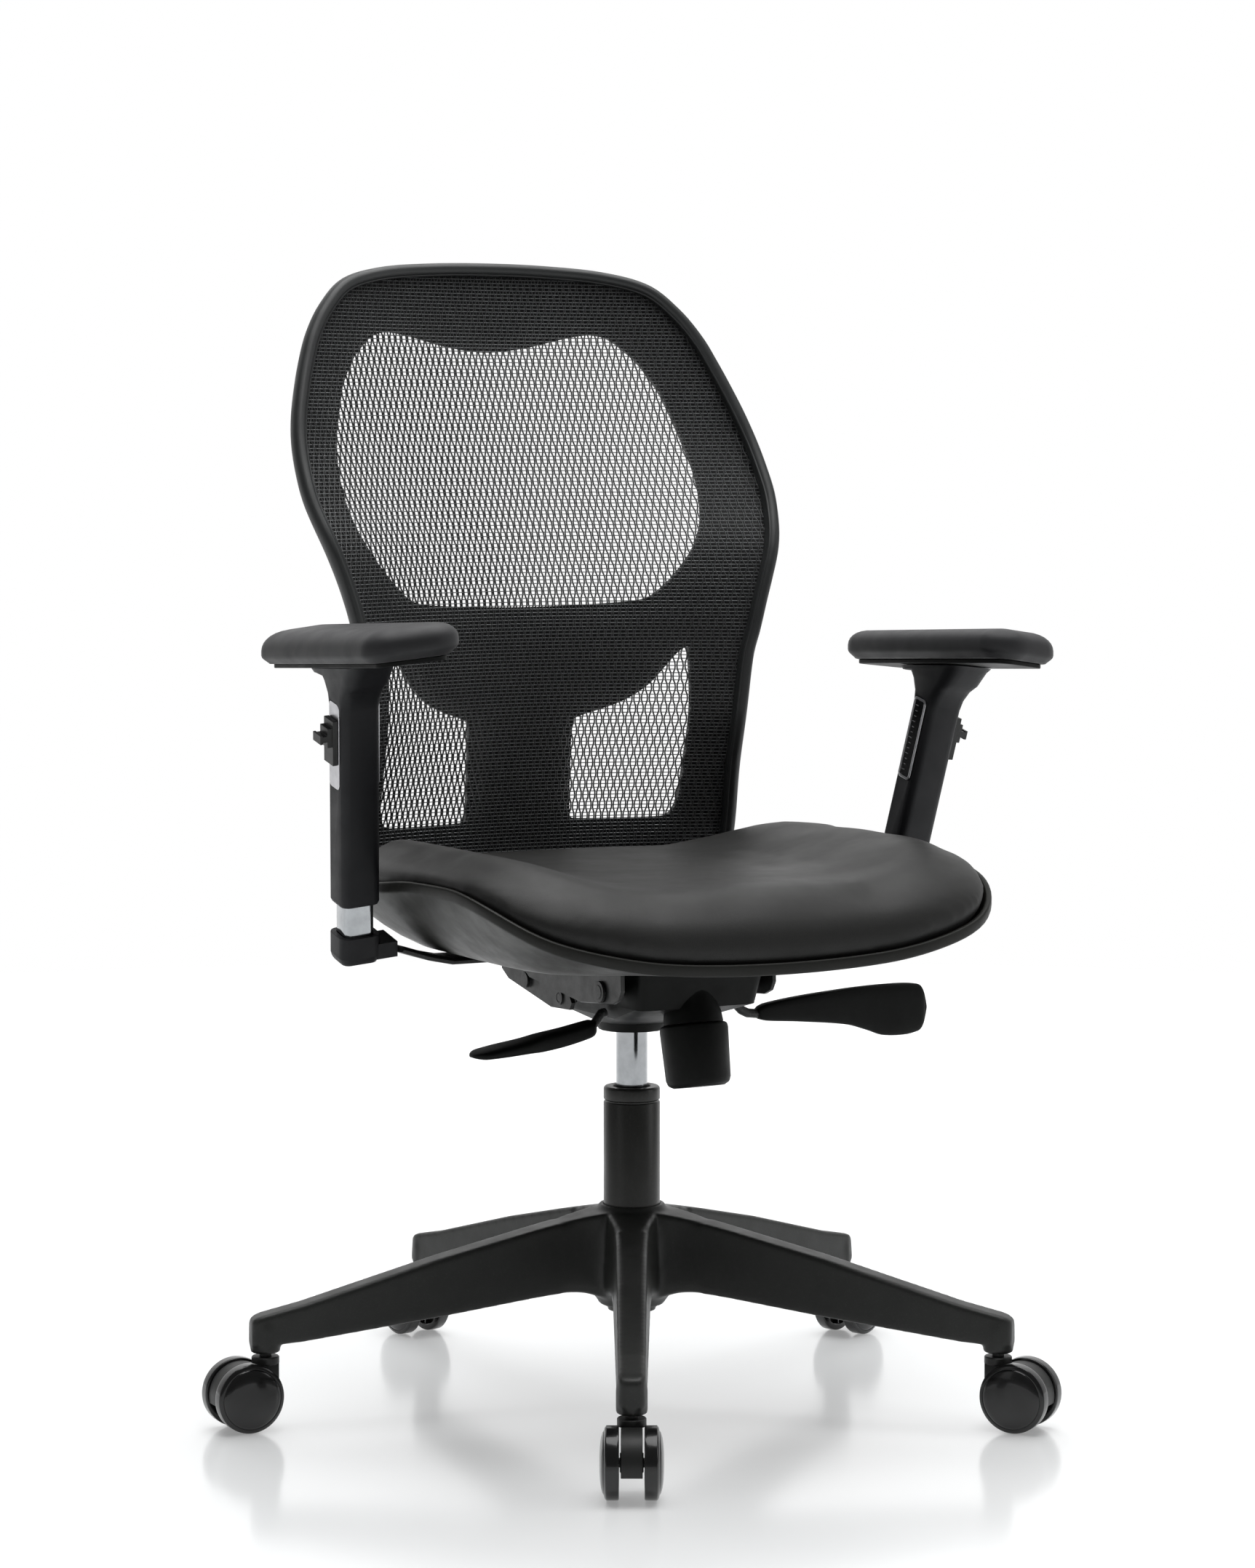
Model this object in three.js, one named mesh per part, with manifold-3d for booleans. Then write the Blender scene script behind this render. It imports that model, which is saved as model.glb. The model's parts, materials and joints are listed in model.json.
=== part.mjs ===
// Swivel office chair. Millimetres, +Z up, the chair faces -Y and the sitter's left is +X.
// The origin is on the floor, on the swivel axis.
import * as THREE from "three";
import { mergeVertices } from "three/addons/utils/BufferGeometryUtils.js";
import Module from "manifold-3d";

const wasm = await Module();
wasm.setup();

// ---- driving dimensions -------------------------------------------------------------------
const BASE_ANGLES = [-118, -46, 26, 98, 170]; // direction of each base arm, degrees from +X
const CASTER_TURN = [0, -9, 0, 0, 9]; // how far each caster is turned from pointing outwards
const STEM_RADIUS = 333; // swivel axis to caster stem
const ARM_STATIONS = [
  // distance out, top height, bottom height, half width at the top, half width at the bottom
  [10, 174, 90, 15, 18],
  [34, 172, 97, 14.5, 17.5],
  [52, 168.5, 103.5, 14, 17],
  [82, 162, 101, 13.8, 16.6],
  [180, 139, 88, 12.6, 15],
  [300, 106.5, 74, 11.6, 13],
  [338, 98.5, 71, 11.4, 12.6],
  [346, 94.5, 71, 9, 11],
];
const HUB_BORE_R = 25.3;
const SOCKET_R = 13;
const SOCKET_BOTTOM = 64.7;
const STEM_BORE_R = 5.6;

const WHEEL_R = 30;
const AXLE_R = 4;
const TRAIL = 21; // caster stem to axle
const WHEEL_INNER = 10.3; // middle of the caster to the inner face of a wheel
const WHEEL_OUTER = 26;

const COLUMN_R = 25;
const COLUMN_TOP = 282;
const ROD_R = 14;
const HOUSING_BOTTOM = 333;

const FRONT_PIVOT = [-87, 380]; // Y and Z of the seat's tilt axis
const REAR_PIVOT = [2, 364.5]; // Y and Z of the back's tilt axis
const LINK_RIVET = [66, 373];
const KNOB_Y = -118;
const LIFT_LEVER_Y = -34;
const TILT_LEVER_Y = -60;
const KNOB_TILT = 11; // degrees, the foot of the knob leans forwards

const SEAT_HALF_WIDTH = 249.5;
const SEAT_MIDDLE_Y = -38;
const SEAT_FRONT = 232; // middle line to the front edge
const SEAT_REAR = 232;
const SHELL_BOTTOM = 409;
const RIM_BAND = 10;
const RIM_BY_WIDTH = [
  // height of the seat rim along the front edge, by distance from the centre line
  [0, 420.4],
  [50, 421.4],
  [116, 426],
  [164, 435],
  [189, 441.5],
  [213, 450],
  [238, 470],
  [249, 483],
];
const RIM_BY_DEPTH = [
  // height of the seat rim along the sides and the rear, by Y
  [-160, 483],
  [-55, 481],
  [-20, 476.5],
  [100, 467],
  [150, 461],
  [196, 454],
];
const CUSHION_TOP = 479;
const BOLSTER_RISE = 27;

const BACK_LINE = [
  // height, Y of the back on its centre line, how fast its sides come forward
  [430, 221, 0.0007],
  [500, 218, 0.0012],
  [550, 216, 0.0017],
  [600, 213.5, 0.0021],
  [650, 210, 0.00195],
  [700, 207, 0.0017],
  [750, 220, 0.0016],
  [800, 238.5, 0.0013],
  [850, 256, 0.0011],
  [900, 269.5, 0.00102],
  [950, 281, 0.001],
  [1020, 292, 0.001],
];
const BACK_EDGE = [
  // outer edge of the back: half width and height, from the foot to the crown
  [0, 432],
  [90, 432],
  [160, 433.5],
  [187, 440],
  [198, 456],
  [201, 480],
  [200, 505],
  [195, 550],
  [193.5, 600],
  [199, 650],
  [205, 675],
  [211.6, 700],
  [219.5, 725],
  [228, 750],
  [235, 775],
  [239.5, 800],
  [239.5, 825],
  [237, 850],
  [231.5, 875],
  [223.5, 900],
  [214, 925],
  [202.5, 950],
  [184, 976],
  [157, 999],
  [115, 1010.5],
  [60, 1015.5],
  [0, 1017],
];
const RIM_WIDTH = 12;
const RIM_DEPTH = 17;
const PANEL_SETBACK = 10.8; // mesh to the support panel behind it
const PANEL_THICK = 5;
const PANEL_TUCK = 7; // how far the panel runs in behind the rim
const UPPER_WINDOW = [
  [0, 933],
  [40, 938],
  [80, 948],
  [105, 952],
  [124, 948],
  [148, 926],
  [163.5, 900],
  [172, 875],
  [178.5, 850],
  [183, 825],
  [183, 800],
  [178, 775],
  [165.5, 750],
  [145, 725],
  [126, 708],
  [112, 703],
  [60, 699.5],
  [0, 698],
];
const LOWER_WINDOW = [
  [152, 662],
  [143, 654],
  [122, 626],
  [105, 613],
  [88, 605],
  [56, 595],
  [53, 590],
  [53, 503],
  [57, 499],
  [140, 499],
  [149, 503],
  [154, 516],
  [155, 600],
  [154, 658],
];

const ARM_FOOT = [267, 0, 421.5]; // middle of the cup under the armrest
const ARM_LEAN = [0.106, -0.238, 1]; // the upright leans outwards and forwards
const ARM_RAISE = { left: 0, right: 16.5 }; // the sitter's right armrest stands higher
const SLEEVE_START = 24;
const PAD_CORNERS = [
  [252, 74],
  [332, 64],
  [332, -176],
  [252, -207],
];

// ---- helpers ------------------------------------------------------------------------------
const rad = (degrees) => (degrees * Math.PI) / 180;

// Straight-line interpolation in a list of rows, whose first column rises.
function along(rows, x, column = 1) {
  if (x <= rows[0][0]) return rows[0][column];
  for (let i = 1; i < rows.length; i++) {
    const [x0, x1] = [rows[i - 1][0], rows[i][0]];
    if (x <= x1) {
      const k = (x - x0) / (x1 - x0);
      return rows[i - 1][column] * (1 - k) + rows[i][column] * k;
    }
  }
  return rows[rows.length - 1][column];
}

// One closed, outward-facing geometry from any closed one.
function closed(geometry) {
  const plain = new THREE.BufferGeometry();
  const source = geometry.index ? geometry.toNonIndexed() : geometry;
  plain.setAttribute("position", source.getAttribute("position").clone());
  const merged = mergeVertices(plain, 1e-3);
  const p = merged.attributes.position.array;
  const t = Array.from(merged.index.array);
  const kept = [];
  let volume = 0;
  for (let i = 0; i < t.length; i += 3) {
    const [a, b, c] = [t[i], t[i + 1], t[i + 2]];
    if (a === b || b === c || a === c) continue;
    kept.push(a, b, c);
    const [ax, ay, az] = p.slice(3 * a, 3 * a + 3);
    const [bx, by, bz] = p.slice(3 * b, 3 * b + 3);
    const [cx, cy, cz] = p.slice(3 * c, 3 * c + 3);
    volume += ax * (by * cz - bz * cy) + ay * (bz * cx - bx * cz) + az * (bx * cy - by * cx);
  }
  if (volume < 0) {
    for (let i = 0; i < kept.length; i += 3) {
      [kept[i + 1], kept[i + 2]] = [kept[i + 2], kept[i + 1]];
    }
  }
  merged.setIndex(kept);
  return merged;
}

function solid(geometry) {
  const g = closed(geometry);
  const mesh = new wasm.Mesh({
    numProp: 3,
    vertProperties: new Float32Array(g.attributes.position.array),
    triVerts: new Uint32Array(g.index.array),
  });
  return new wasm.Manifold(mesh);
}

function geometryOf(manifold) {
  const mesh = manifold.getMesh();
  const g = new THREE.BufferGeometry();
  g.setAttribute("position", new THREE.BufferAttribute(mesh.vertProperties, 3));
  g.setIndex(Array.from(mesh.triVerts));
  return g;
}

const joined = (...geometries) => geometryOf(geometries.map(solid).reduce((a, b) => a.add(b)));
const cut = (geometry, ...tools) =>
  geometryOf(tools.map(solid).reduce((a, b) => a.subtract(b), solid(geometry)));

// A closed skin over rings of equal length; a ring of one point closes to a tip, and
// rings that end in more points than one get a flat cap.
function skin(rings) {
  const points = [];
  const faces = [];
  const starts = [];
  const n = Math.max(...rings.map((r) => r.length));
  for (const ring of rings) {
    starts.push(points.length);
    points.push(...ring);
  }
  const id = (k, i) => starts[k] + (rings[k].length === 1 ? 0 : i % n);
  for (let k = 0; k + 1 < rings.length; k++) {
    for (let i = 0; i < n; i++) {
      const [a, b, c, d] = [id(k, i), id(k, i + 1), id(k + 1, i + 1), id(k + 1, i)];
      if (a !== b) faces.push([a, b, c]);
      if (c !== d) faces.push([a, c, d]);
    }
  }
  for (const [k, turn] of [
    [0, true],
    [rings.length - 1, false],
  ]) {
    if (rings[k].length === 1) continue;
    const centre = [0, 1, 2].map((j) => rings[k].reduce((s, p) => s + p[j], 0) / n);
    points.push(centre);
    for (let i = 0; i < n; i++) {
      const [a, b] = [id(k, i), id(k, i + 1)];
      faces.push(turn ? [b, a, points.length - 1] : [a, b, points.length - 1]);
    }
  }
  const g = new THREE.BufferGeometry();
  g.setAttribute("position", new THREE.Float32BufferAttribute(points.flat(), 3));
  g.setIndex(faces.flat());
  return closed(g);
}

// A skin whose rings run round a closed path.
function loop(rings) {
  const n = rings[0].length;
  const m = rings.length;
  const faces = [];
  for (let k = 0; k < m; k++) {
    for (let i = 0; i < n; i++) {
      const [a, b] = [k * n + i, k * n + ((i + 1) % n)];
      const [c, d] = [((k + 1) % m) * n + ((i + 1) % n), ((k + 1) % m) * n + i];
      faces.push([a, b, c], [a, c, d]);
    }
  }
  const g = new THREE.BufferGeometry();
  g.setAttribute("position", new THREE.Float32BufferAttribute(rings.flat(2), 3));
  g.setIndex(faces.flat());
  return closed(g);
}

const move = (g, x, y, z) => g.clone().translate(x, y, z);
const box = (x0, x1, y0, y1, z0, z1) =>
  new THREE.BoxGeometry(x1 - x0, y1 - y0, z1 - z0).translate(
    (x0 + x1) / 2,
    (y0 + y1) / 2,
    (z0 + z1) / 2,
  );

// A solid of revolution about Z from [radius, height] pairs.
function turned(profile, segments = 24) {
  const points = profile.map(([r, z]) => new THREE.Vector2(r, z));
  return closed(new THREE.LatheGeometry(points, segments).rotateX(Math.PI / 2));
}
const rod = (r, z0, z1, segments = 20) =>
  turned([[0, z0], [r, z0], [r, z1], [0, z1]], segments);
const rodX = (r, x0, x1, y, z, segments = 16) =>
  move(rod(r, x0, x1, segments).rotateY(Math.PI / 2), 0, y, z);

// A plate whose outline is in Y and Z, between two X positions.
function plateYZ(outline, x0, x1) {
  const ring = (x) => outline.map(([y, z]) => [x, y, z]);
  return prism(ring(x0), ring(x1));
}

// A straight prism between two equal rings, which need not be convex.
function prism(ringA, ringB) {
  const n = ringA.length;
  const pick = flatAxes(ringA);
  const flat = ringA.map((p) => new THREE.Vector2(p[pick[0]], p[pick[1]]));
  const ears = THREE.ShapeUtils.triangulateShape(flat, []);
  const turnedRight = THREE.ShapeUtils.area(flat) > 0;
  const faces = [];
  for (const [a, b, c] of ears) {
    faces.push([a, b, c], [n + c, n + b, n + a]);
  }
  for (let i = 0; i < n; i++) {
    const j = (i + 1) % n;
    if (turnedRight) faces.push([j, i, n + i], [j, n + i, n + j]);
    else faces.push([i, j, n + j], [i, n + j, n + i]);
  }
  if (!turnedRight) {
    for (let i = 0; i < 2 * ears.length; i++) faces[i].reverse();
    for (let i = 2 * ears.length; i < faces.length; i++) faces[i].reverse();
  }
  const g = new THREE.BufferGeometry();
  g.setAttribute("position", new THREE.Float32BufferAttribute([...ringA, ...ringB].flat(), 3));
  g.setIndex(faces.flat());
  return closed(g);
}

// The two axes in which a flat ring is widest.
function flatAxes(ring) {
  const spread = [0, 1, 2].map((j) => {
    const values = ring.map((p) => p[j]);
    return Math.max(...values) - Math.min(...values);
  });
  const thin = spread.indexOf(Math.min(...spread));
  return [0, 1, 2].filter((j) => j !== thin);
}

// A rounded polygon with the same number of points at each corner.
function rounded(corners, radius, steps = 4, inset = 0) {
  const n = corners.length;
  const area = corners.reduce((s, [x, y], i) => {
    const [u, v] = corners[(i + 1) % n];
    return s + x * v - u * y;
  }, 0);
  const side = area > 0 ? 1 : -1;
  const lines = corners.map(([x, y], i) => {
    const [u, v] = corners[(i + 1) % n];
    const length = Math.hypot(u - x, v - y);
    const [dx, dy] = [(u - x) / length, (v - y) / length];
    return { x: x - side * dy * inset, y: y + side * dx * inset, dx, dy };
  });
  const r = Math.max(radius - inset, 3);
  const points = [];
  for (let i = 0; i < n; i++) {
    const a = lines[(i + n - 1) % n];
    const b = lines[i];
    const det = a.dx * b.dy - a.dy * b.dx;
    const t = ((b.x - a.x) * b.dy - (b.y - a.y) * b.dx) / det;
    const [px, py] = [a.x + a.dx * t, a.y + a.dy * t];
    const turn = Math.abs(Math.atan2(det, a.dx * b.dx + a.dy * b.dy));
    const reach = r * Math.tan(turn / 2);
    const [sx, sy] = [px - a.dx * reach, py - a.dy * reach];
    const [cx, cy] = [sx - side * a.dy * r, sy + side * a.dx * r];
    const start = Math.atan2(sy - cy, sx - cx);
    for (let k = 0; k <= steps; k++) {
      const angle = start + (side * turn * k) / steps;
      points.push([cx + r * Math.cos(angle), cy + r * Math.sin(angle)]);
    }
  }
  return points;
}

const oblong = (w, d, r, steps = 4, x = 0, y = 0) =>
  rounded(
    [
      [x - w / 2, y - d / 2],
      [x + w / 2, y - d / 2],
      [x + w / 2, y + d / 2],
      [x - w / 2, y + d / 2],
    ],
    r,
    steps,
  );
const level = (ring, z) => ring.map(([x, y]) => [x, y, z]);

// A bar of constant section along a path; the section's first axis stays close to `side`.
function bar(path, section, side = [1, 0, 0]) {
  const points = path.map((p) => new THREE.Vector3(...p));
  const rings = points.map((p, i) => {
    const before = points[Math.max(i - 1, 0)];
    const after = points[Math.min(i + 1, points.length - 1)];
    const inDir = p.clone().sub(before);
    const outDir = after.clone().sub(p);
    if (i > 0) inDir.normalize();
    if (i < points.length - 1) outDir.normalize();
    const tangent = inDir.clone().add(outDir).normalize();
    const v = tangent.clone().cross(new THREE.Vector3(...side)).normalize();
    const u = v.clone().cross(tangent).normalize();
    const bend = i > 0 && i < points.length - 1 ? inDir.dot(tangent) : 1;
    return section.map(([a, b]) => {
      const q = p.clone().addScaledVector(u, a).addScaledVector(v, b / bend);
      return [q.x, q.y, q.z];
    });
  });
  return skin(rings);
}
const circle = (r, n = 12) =>
  Array.from({ length: n }, (_, i) => {
    const a = (2 * Math.PI * i) / n;
    return [r * Math.cos(a), r * Math.sin(a)];
  });
// Points of an arc between two headings in the plane of two axes.
function arc(cx, cy, r, from, to, steps) {
  return Array.from({ length: steps + 1 }, (_, i) => {
    const a = rad(from + ((to - from) * i) / steps);
    return [cx + r * Math.cos(a), cy + r * Math.sin(a)];
  });
}

const finish = (color, roughness, metalness = 0) =>
  new THREE.MeshStandardMaterial({ color, roughness, metalness });
const looks = {
  plastic: finish(0x202224, 0.6),
  nylon: finish(0x2b2d2e, 0.75),
  wheel: finish(0x161718, 0.35),
  steel: finish(0x3c3f40, 0.45, 0.7),
  chrome: finish(0xd8dadc, 0.12, 1),
  silver: finish(0xb9bcc0, 0.3, 0.8),
  vinyl: finish(0x4a4a48, 0.55),
  shell: finish(0x33342f, 0.6),
  pad: finish(0x3a3b3f, 0.7),
  mesh: finish(0x1c1d1e, 0.9),
};

const chair = new THREE.Group();
function add(name, geometry, look) {
  const mesh = new THREE.Mesh(closed(geometry), looks[look]);
  mesh.geometry.computeVertexNormals();
  mesh.name = name;
  chair.add(mesh);
}

// ---- star base ----------------------------------------------------------------------------
function baseArm() {
  const rings = ARM_STATIONS.map(([r, top, bottom, wt, wb]) => {
    const c = 3.5;
    return [
      [r, wt - c, top],
      [r, wt, top - c],
      [r, wb, bottom + c],
      [r, wb - c, bottom],
      [r, -wb + c, bottom],
      [r, -wb, bottom + c],
      [r, -wt, top - c],
      [r, -wt + c, top],
    ];
  });
  const arm = skin(rings);
  const socket = move(rod(SOCKET_R, SOCKET_BOTTOM, 92, 20), STEM_RADIUS, 0, 0);
  const bore = move(rod(STEM_BORE_R, SOCKET_BOTTOM - 1, 89, 12), STEM_RADIUS, 0, 0);
  return cut(joined(arm, socket), bore);
}
{
  const hub = turned([
    [0, 87],
    [28, 87],
    [32, 92],
    [36, 112],
    [36, 150],
    [32, 168],
    [28.5, 177.5],
    [0, 177.5],
  ]);
  const arms = BASE_ANGLES.map((a) => baseArm().rotateZ(rad(a)));
  add("base_star", cut(joined(hub, ...arms), rod(HUB_BORE_R + 0.2, 80, 180, 24)), "nylon");
}

// ---- casters ------------------------------------------------------------------------------
function casterFork() {
  const z = WHEEL_R;
  const neck = rod(12, 57, 62, 16);
  const stem = rod(5.2, 60, 88, 12);
  const outer = arc(TRAIL, z, 28, -13, 150, 9);
  const inner = arc(TRAIL, z, 24, 150, -13, 9);
  const ring = (y) => [...outer, ...inner].map(([x, h]) => [x, y, h]);
  const band = prism(ring(-8.8), ring(8.8));
  const shoulder = box(-10, 8, -8.6, 8.6, 44, 58);
  const boss = move(rod(8, -8.8, 8.8, 16).rotateX(Math.PI / 2), TRAIL, 0, z);
  const rib = bar(
    [
      [-3, 0, 48],
      [TRAIL, 0, z],
    ],
    oblong(6, 12, 2, 1),
    [0, 1, 0],
  );
  const tail = bar(
    [
      [TRAIL, 0, z],
      [TRAIL + 26, 0, z + 2],
    ],
    oblong(6, 10, 2, 1),
    [0, 1, 0],
  );
  const bore = move(rod(AXLE_R + 0.1, -12, 12, 16).rotateX(Math.PI / 2), TRAIL, 0, z);
  return cut(joined(neck, stem, band, shoulder, boss, rib, tail), bore);
}
function casterWheel(side) {
  const [a, b] = [WHEEL_INNER, WHEEL_OUTER];
  const profile = [
    [AXLE_R + 0.1, a],
    [9, a],
    [9, a + 5],
    [24, a + 5],
    [24, a],
    [WHEEL_R, a],
    [WHEEL_R, a + 9.5],
    [WHEEL_R - 3.5, a + 12],
    [WHEEL_R - 12, a + 14.6],
    [0, b],
    [0, a + 12],
    [AXLE_R + 0.1, a + 12],
    [AXLE_R + 0.1, a],
  ];
  const wheel = turned(profile, 20).rotateX(-Math.PI / 2 * side);
  return move(wheel, TRAIL, 0, WHEEL_R);
}
BASE_ANGLES.forEach((angle, i) => {
  const n = i + 1;
  const place = (g) =>
    g
      .rotateZ(rad(angle + CASTER_TURN[i]))
      .translate(STEM_RADIUS * Math.cos(rad(angle)), STEM_RADIUS * Math.sin(rad(angle)), 0);
  const axle = move(rod(AXLE_R, -21, 21, 16).rotateX(Math.PI / 2), TRAIL, 0, WHEEL_R);
  add(`caster_fork_${n}`, place(casterFork()), "plastic");
  add(`caster_axle_${n}`, place(axle), "steel");
  add(`caster_wheel_${n}a`, place(casterWheel(1)), "wheel");
  add(`caster_wheel_${n}b`, place(casterWheel(-1)), "wheel");
});

// ---- gas column ---------------------------------------------------------------------------
add(
  "gas_column",
  turned([
    [0, 82],
    [21, 82],
    [24, 90],
    [COLUMN_R, 120],
    [COLUMN_R, 268.5],
    [COLUMN_R - 1, 269.7],
    [20, 269.7],
    [20, 90],
    [0, 90],
  ]),
  "plastic",
);
add(
  "column_collar",
  turned([
    [ROD_R + 0.4, 262],
    [19.6, 262],
    [19.6, 270.2],
    [COLUMN_R - 0.8, 270.2],
    [COLUMN_R, 271.2],
    [COLUMN_R, COLUMN_TOP - 3],
    [COLUMN_R - 2, COLUMN_TOP],
    [ROD_R + 2.5, COLUMN_TOP],
    [ROD_R + 0.4, COLUMN_TOP - 2],
    [ROD_R + 0.4, 262],
  ]),
  "plastic",
);
add(
  "piston_rod",
  turned([
    [0, 140],
    [ROD_R - 1, 140],
    [ROD_R, 142],
    [ROD_R, 336],
    [ROD_R - 1, 356],
    [0, 356],
  ]),
  "chrome",
);

// ---- tilt mechanism -----------------------------------------------------------------------
const knobPlace = (g) =>
  move(g.clone().rotateX(rad(-KNOB_TILT)), 0, KNOB_Y, 324);
{
  const body = skin([
    level(oblong(58, 58, 28, 4), HOUSING_BOTTOM),
    level(oblong(64, 66, 28, 4), HOUSING_BOTTOM + 8),
    level(oblong(100, 128, 16, 4, 0, -14), 352),
    level(oblong(116, 180, 10, 4, 0, -34), 366),
    level(oblong(122, 196, 7, 4, 0, -34), 398),
  ]);
  const nose = knobPlace(
    turned([
      [0, 27.5],
      [26, 27.5],
      [25, 36],
      [21, 50],
      [20, 70],
      [0, 70],
    ]),
  );
  const shaftBore = knobPlace(rod(5.5, 20, 48, 16));
  const rodBore = rod(ROD_R + 0.5, HOUSING_BOTTOM - 2, 358, 24);
  const tray = box(-50, 50, -108, 50, 372, 402);
  const frontBore = rodX(6.2, -66, 66, ...FRONT_PIVOT);
  const rearBore = rodX(5.2, -66, 66, ...REAR_PIVOT);
  // The top falls away to the rear, where the seat's carrier comes down as it tilts.
  const fall = (y) => 402.5 - (y - FRONT_PIVOT[0]) * Math.tan(rad(6.5));
  const relief = plateYZ(
    [
      [FRONT_PIVOT[0], fall(FRONT_PIVOT[0])],
      [72, fall(72)],
      [72, 420],
      [FRONT_PIVOT[0], 420],
    ],
    -70,
    70,
  );
  const shell = joined(cut(body, tray, relief), nose);
  add("tilt_housing", cut(shell, shaftBore, rodBore, frontBore, rearBore), "nylon");
}
add(
  "tension_knob",
  joined(
    knobPlace(
      turned([
        [0, -27],
        [22, -27],
        [26.5, -24.5],
        [28, -20],
        [29.6, 22],
        [29, 26],
        [27, 27],
        [0, 27],
      ]),
    ),
    knobPlace(rod(5, 20, 46, 16)),
  ),
  "plastic",
);
{
  const outline = [
    [-123, 404.5],
    [-124, 384],
    [-119, 376],
    [-108, 371.5],
    [-49, 366.5],
    [-24, 369],
    [52, 377.5],
    [96, 404.5],
  ];
  const sides = [-1, 1].map((s) => plateYZ(outline, s * 72, s * 76));
  const top = box(-96, 96, -125, 100, 404, 408.5);
  const bores = rodX(6.2, -80, 80, ...FRONT_PIVOT);
  add("seat_carrier", cut(joined(top, ...sides), bores), "steel");
  add("front_pivot_pin", joined(
    rodX(6, -79.5, 79.5, ...FRONT_PIVOT),
    rodX(9.5, 76.3, 79, ...FRONT_PIVOT),
    rodX(9.5, -79, -76.3, ...FRONT_PIVOT),
  ), "steel");
}
{
  const outline = [
    [118, 394],
    [118, 378],
    [104, 370],
    [20, 354],
    [-16, 355.5],
    [-20, 362],
    [-12, 372],
    [40, 384],
    [70, 394],
  ];
  const sides = [-1, 1].map((s) => plateYZ(outline, s * 66, s * 70));
  const bridge = box(-68, 68, 88, 116, 382, 388);
  const rivets = [-1, 1].map((s) => rodX(7, s * 69, s * 73.5, ...LINK_RIVET));
  const bosses = [-1, 1].map((s) => rodX(6.5, s * 69, s * 71.6, ...REAR_PIVOT));
  const bore = rodX(4.2, -80, 80, ...REAR_PIVOT);
  add("back_bracket", cut(joined(bridge, ...sides, ...rivets, ...bosses), bore), "steel");
  add("rear_pivot_pin", rodX(4, -71.4, 71.4, ...REAR_PIVOT), "steel");
}

// ---- levers -------------------------------------------------------------------------------
{
  const rodPath = [
    [57, LIFT_LEVER_Y, 355.5],
    [80, LIFT_LEVER_Y, 355.5],
    [86, LIFT_LEVER_Y, 353.5],
    [92, LIFT_LEVER_Y, 347.5],
    [98, LIFT_LEVER_Y, 344.5],
    [106, LIFT_LEVER_Y, 343.5],
    [120, LIFT_LEVER_Y, 343.5],
  ];
  add("lift_lever_rod", bar(rodPath, circle(4.2, 10), [0, 1, 0]), "steel");
  const stations = [
    // X, bottom, top, half thickness
    [108, 338, 349, 6],
    [112, 336.5, 352, 7],
    [150, 334, 357, 7],
    [200, 328, 360.5, 6.5],
    [222, 321, 361.5, 6],
    [232, 315.5, 362, 6],
    [272, 314.5, 362, 6],
    [279, 319, 359, 5.5],
    [284, 336, 353, 5],
  ];
  const rings = stations.map(([x, low, high, t]) => {
    const c = 3;
    return [
      [x, LIFT_LEVER_Y - t, low + c],
      [x, LIFT_LEVER_Y - t + c, low],
      [x, LIFT_LEVER_Y + t - c, low],
      [x, LIFT_LEVER_Y + t, low + c],
      [x, LIFT_LEVER_Y + t, high - c],
      [x, LIFT_LEVER_Y + t - c, high],
      [x, LIFT_LEVER_Y - t + c, high],
      [x, LIFT_LEVER_Y - t, high - c],
    ];
  });
  const socket = bar(rodPath.slice(4), circle(4.6, 12), [0, 1, 0]);
  add("lift_lever_paddle", cut(skin(rings), socket), "plastic");
}
{
  const rodPath = [
    [-57.5, TILT_LEVER_Y, 358],
    [-62, TILT_LEVER_Y, 357],
    [-67, TILT_LEVER_Y, 350.5],
    [-71, TILT_LEVER_Y, 346.8],
    [-88, TILT_LEVER_Y, 343.6],
  ];
  add("tilt_lever_rod", bar(rodPath, circle(4, 10), [0, 1, 0]), "steel");
  const stations = [
    // X, bottom, top, half width
    [-70, 339.5, 352.5, 9],
    [-76, 337, 351.5, 11],
    [-100, 331.5, 346.8, 12.5],
    [-122, 328.3, 343.3, 13.5],
    [-136, 327.8, 340, 15.5],
    [-160, 326.4, 336, 17],
    [-178, 325.6, 332.8, 15.5],
    [-187, 325.4, 331.5, 10],
  ];
  const rings = stations.map(([x, low, high, w]) => {
    const c = 3;
    return [
      [x, TILT_LEVER_Y - w, low + c],
      [x, TILT_LEVER_Y - w + c, low],
      [x, TILT_LEVER_Y + w - c, low],
      [x, TILT_LEVER_Y + w, low + c],
      [x, TILT_LEVER_Y + w, high - c],
      [x, TILT_LEVER_Y + w - c, high],
      [x, TILT_LEVER_Y - w + c, high],
      [x, TILT_LEVER_Y - w, high - c],
    ];
  });
  const socket = bar(rodPath.slice(2), circle(4.4, 12), [0, 1, 0]);
  add("tilt_lever_paddle", cut(skin(rings), socket), "plastic");
}

// ---- seat ---------------------------------------------------------------------------------
const SEAT_POINTS = 44;
const SEAT_CENTRE = [0, -38];
const seatOutline = Array.from({ length: SEAT_POINTS }, (_, i) => {
  const a = (2 * Math.PI * i) / SEAT_POINTS;
  const [c, s] = [Math.cos(a), Math.sin(a)];
  const power = s < 0 ? 5 : 3.2;
  const reach = s < 0 ? SEAT_FRONT : SEAT_REAR;
  const bend = (v) => Math.sign(v) * Math.abs(v) ** (2 / power);
  return [SEAT_HALF_WIDTH * bend(c), SEAT_MIDDLE_Y + reach * bend(s)];
});
function rimHeight([x, y]) {
  if (y < -160) return along(RIM_BY_WIDTH, Math.abs(x));
  return along(RIM_BY_DEPTH, y);
}
const rimHeights = seatOutline.map(rimHeight);
const flatShare = 0.7; // share of the plan that is level under the seat
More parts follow.
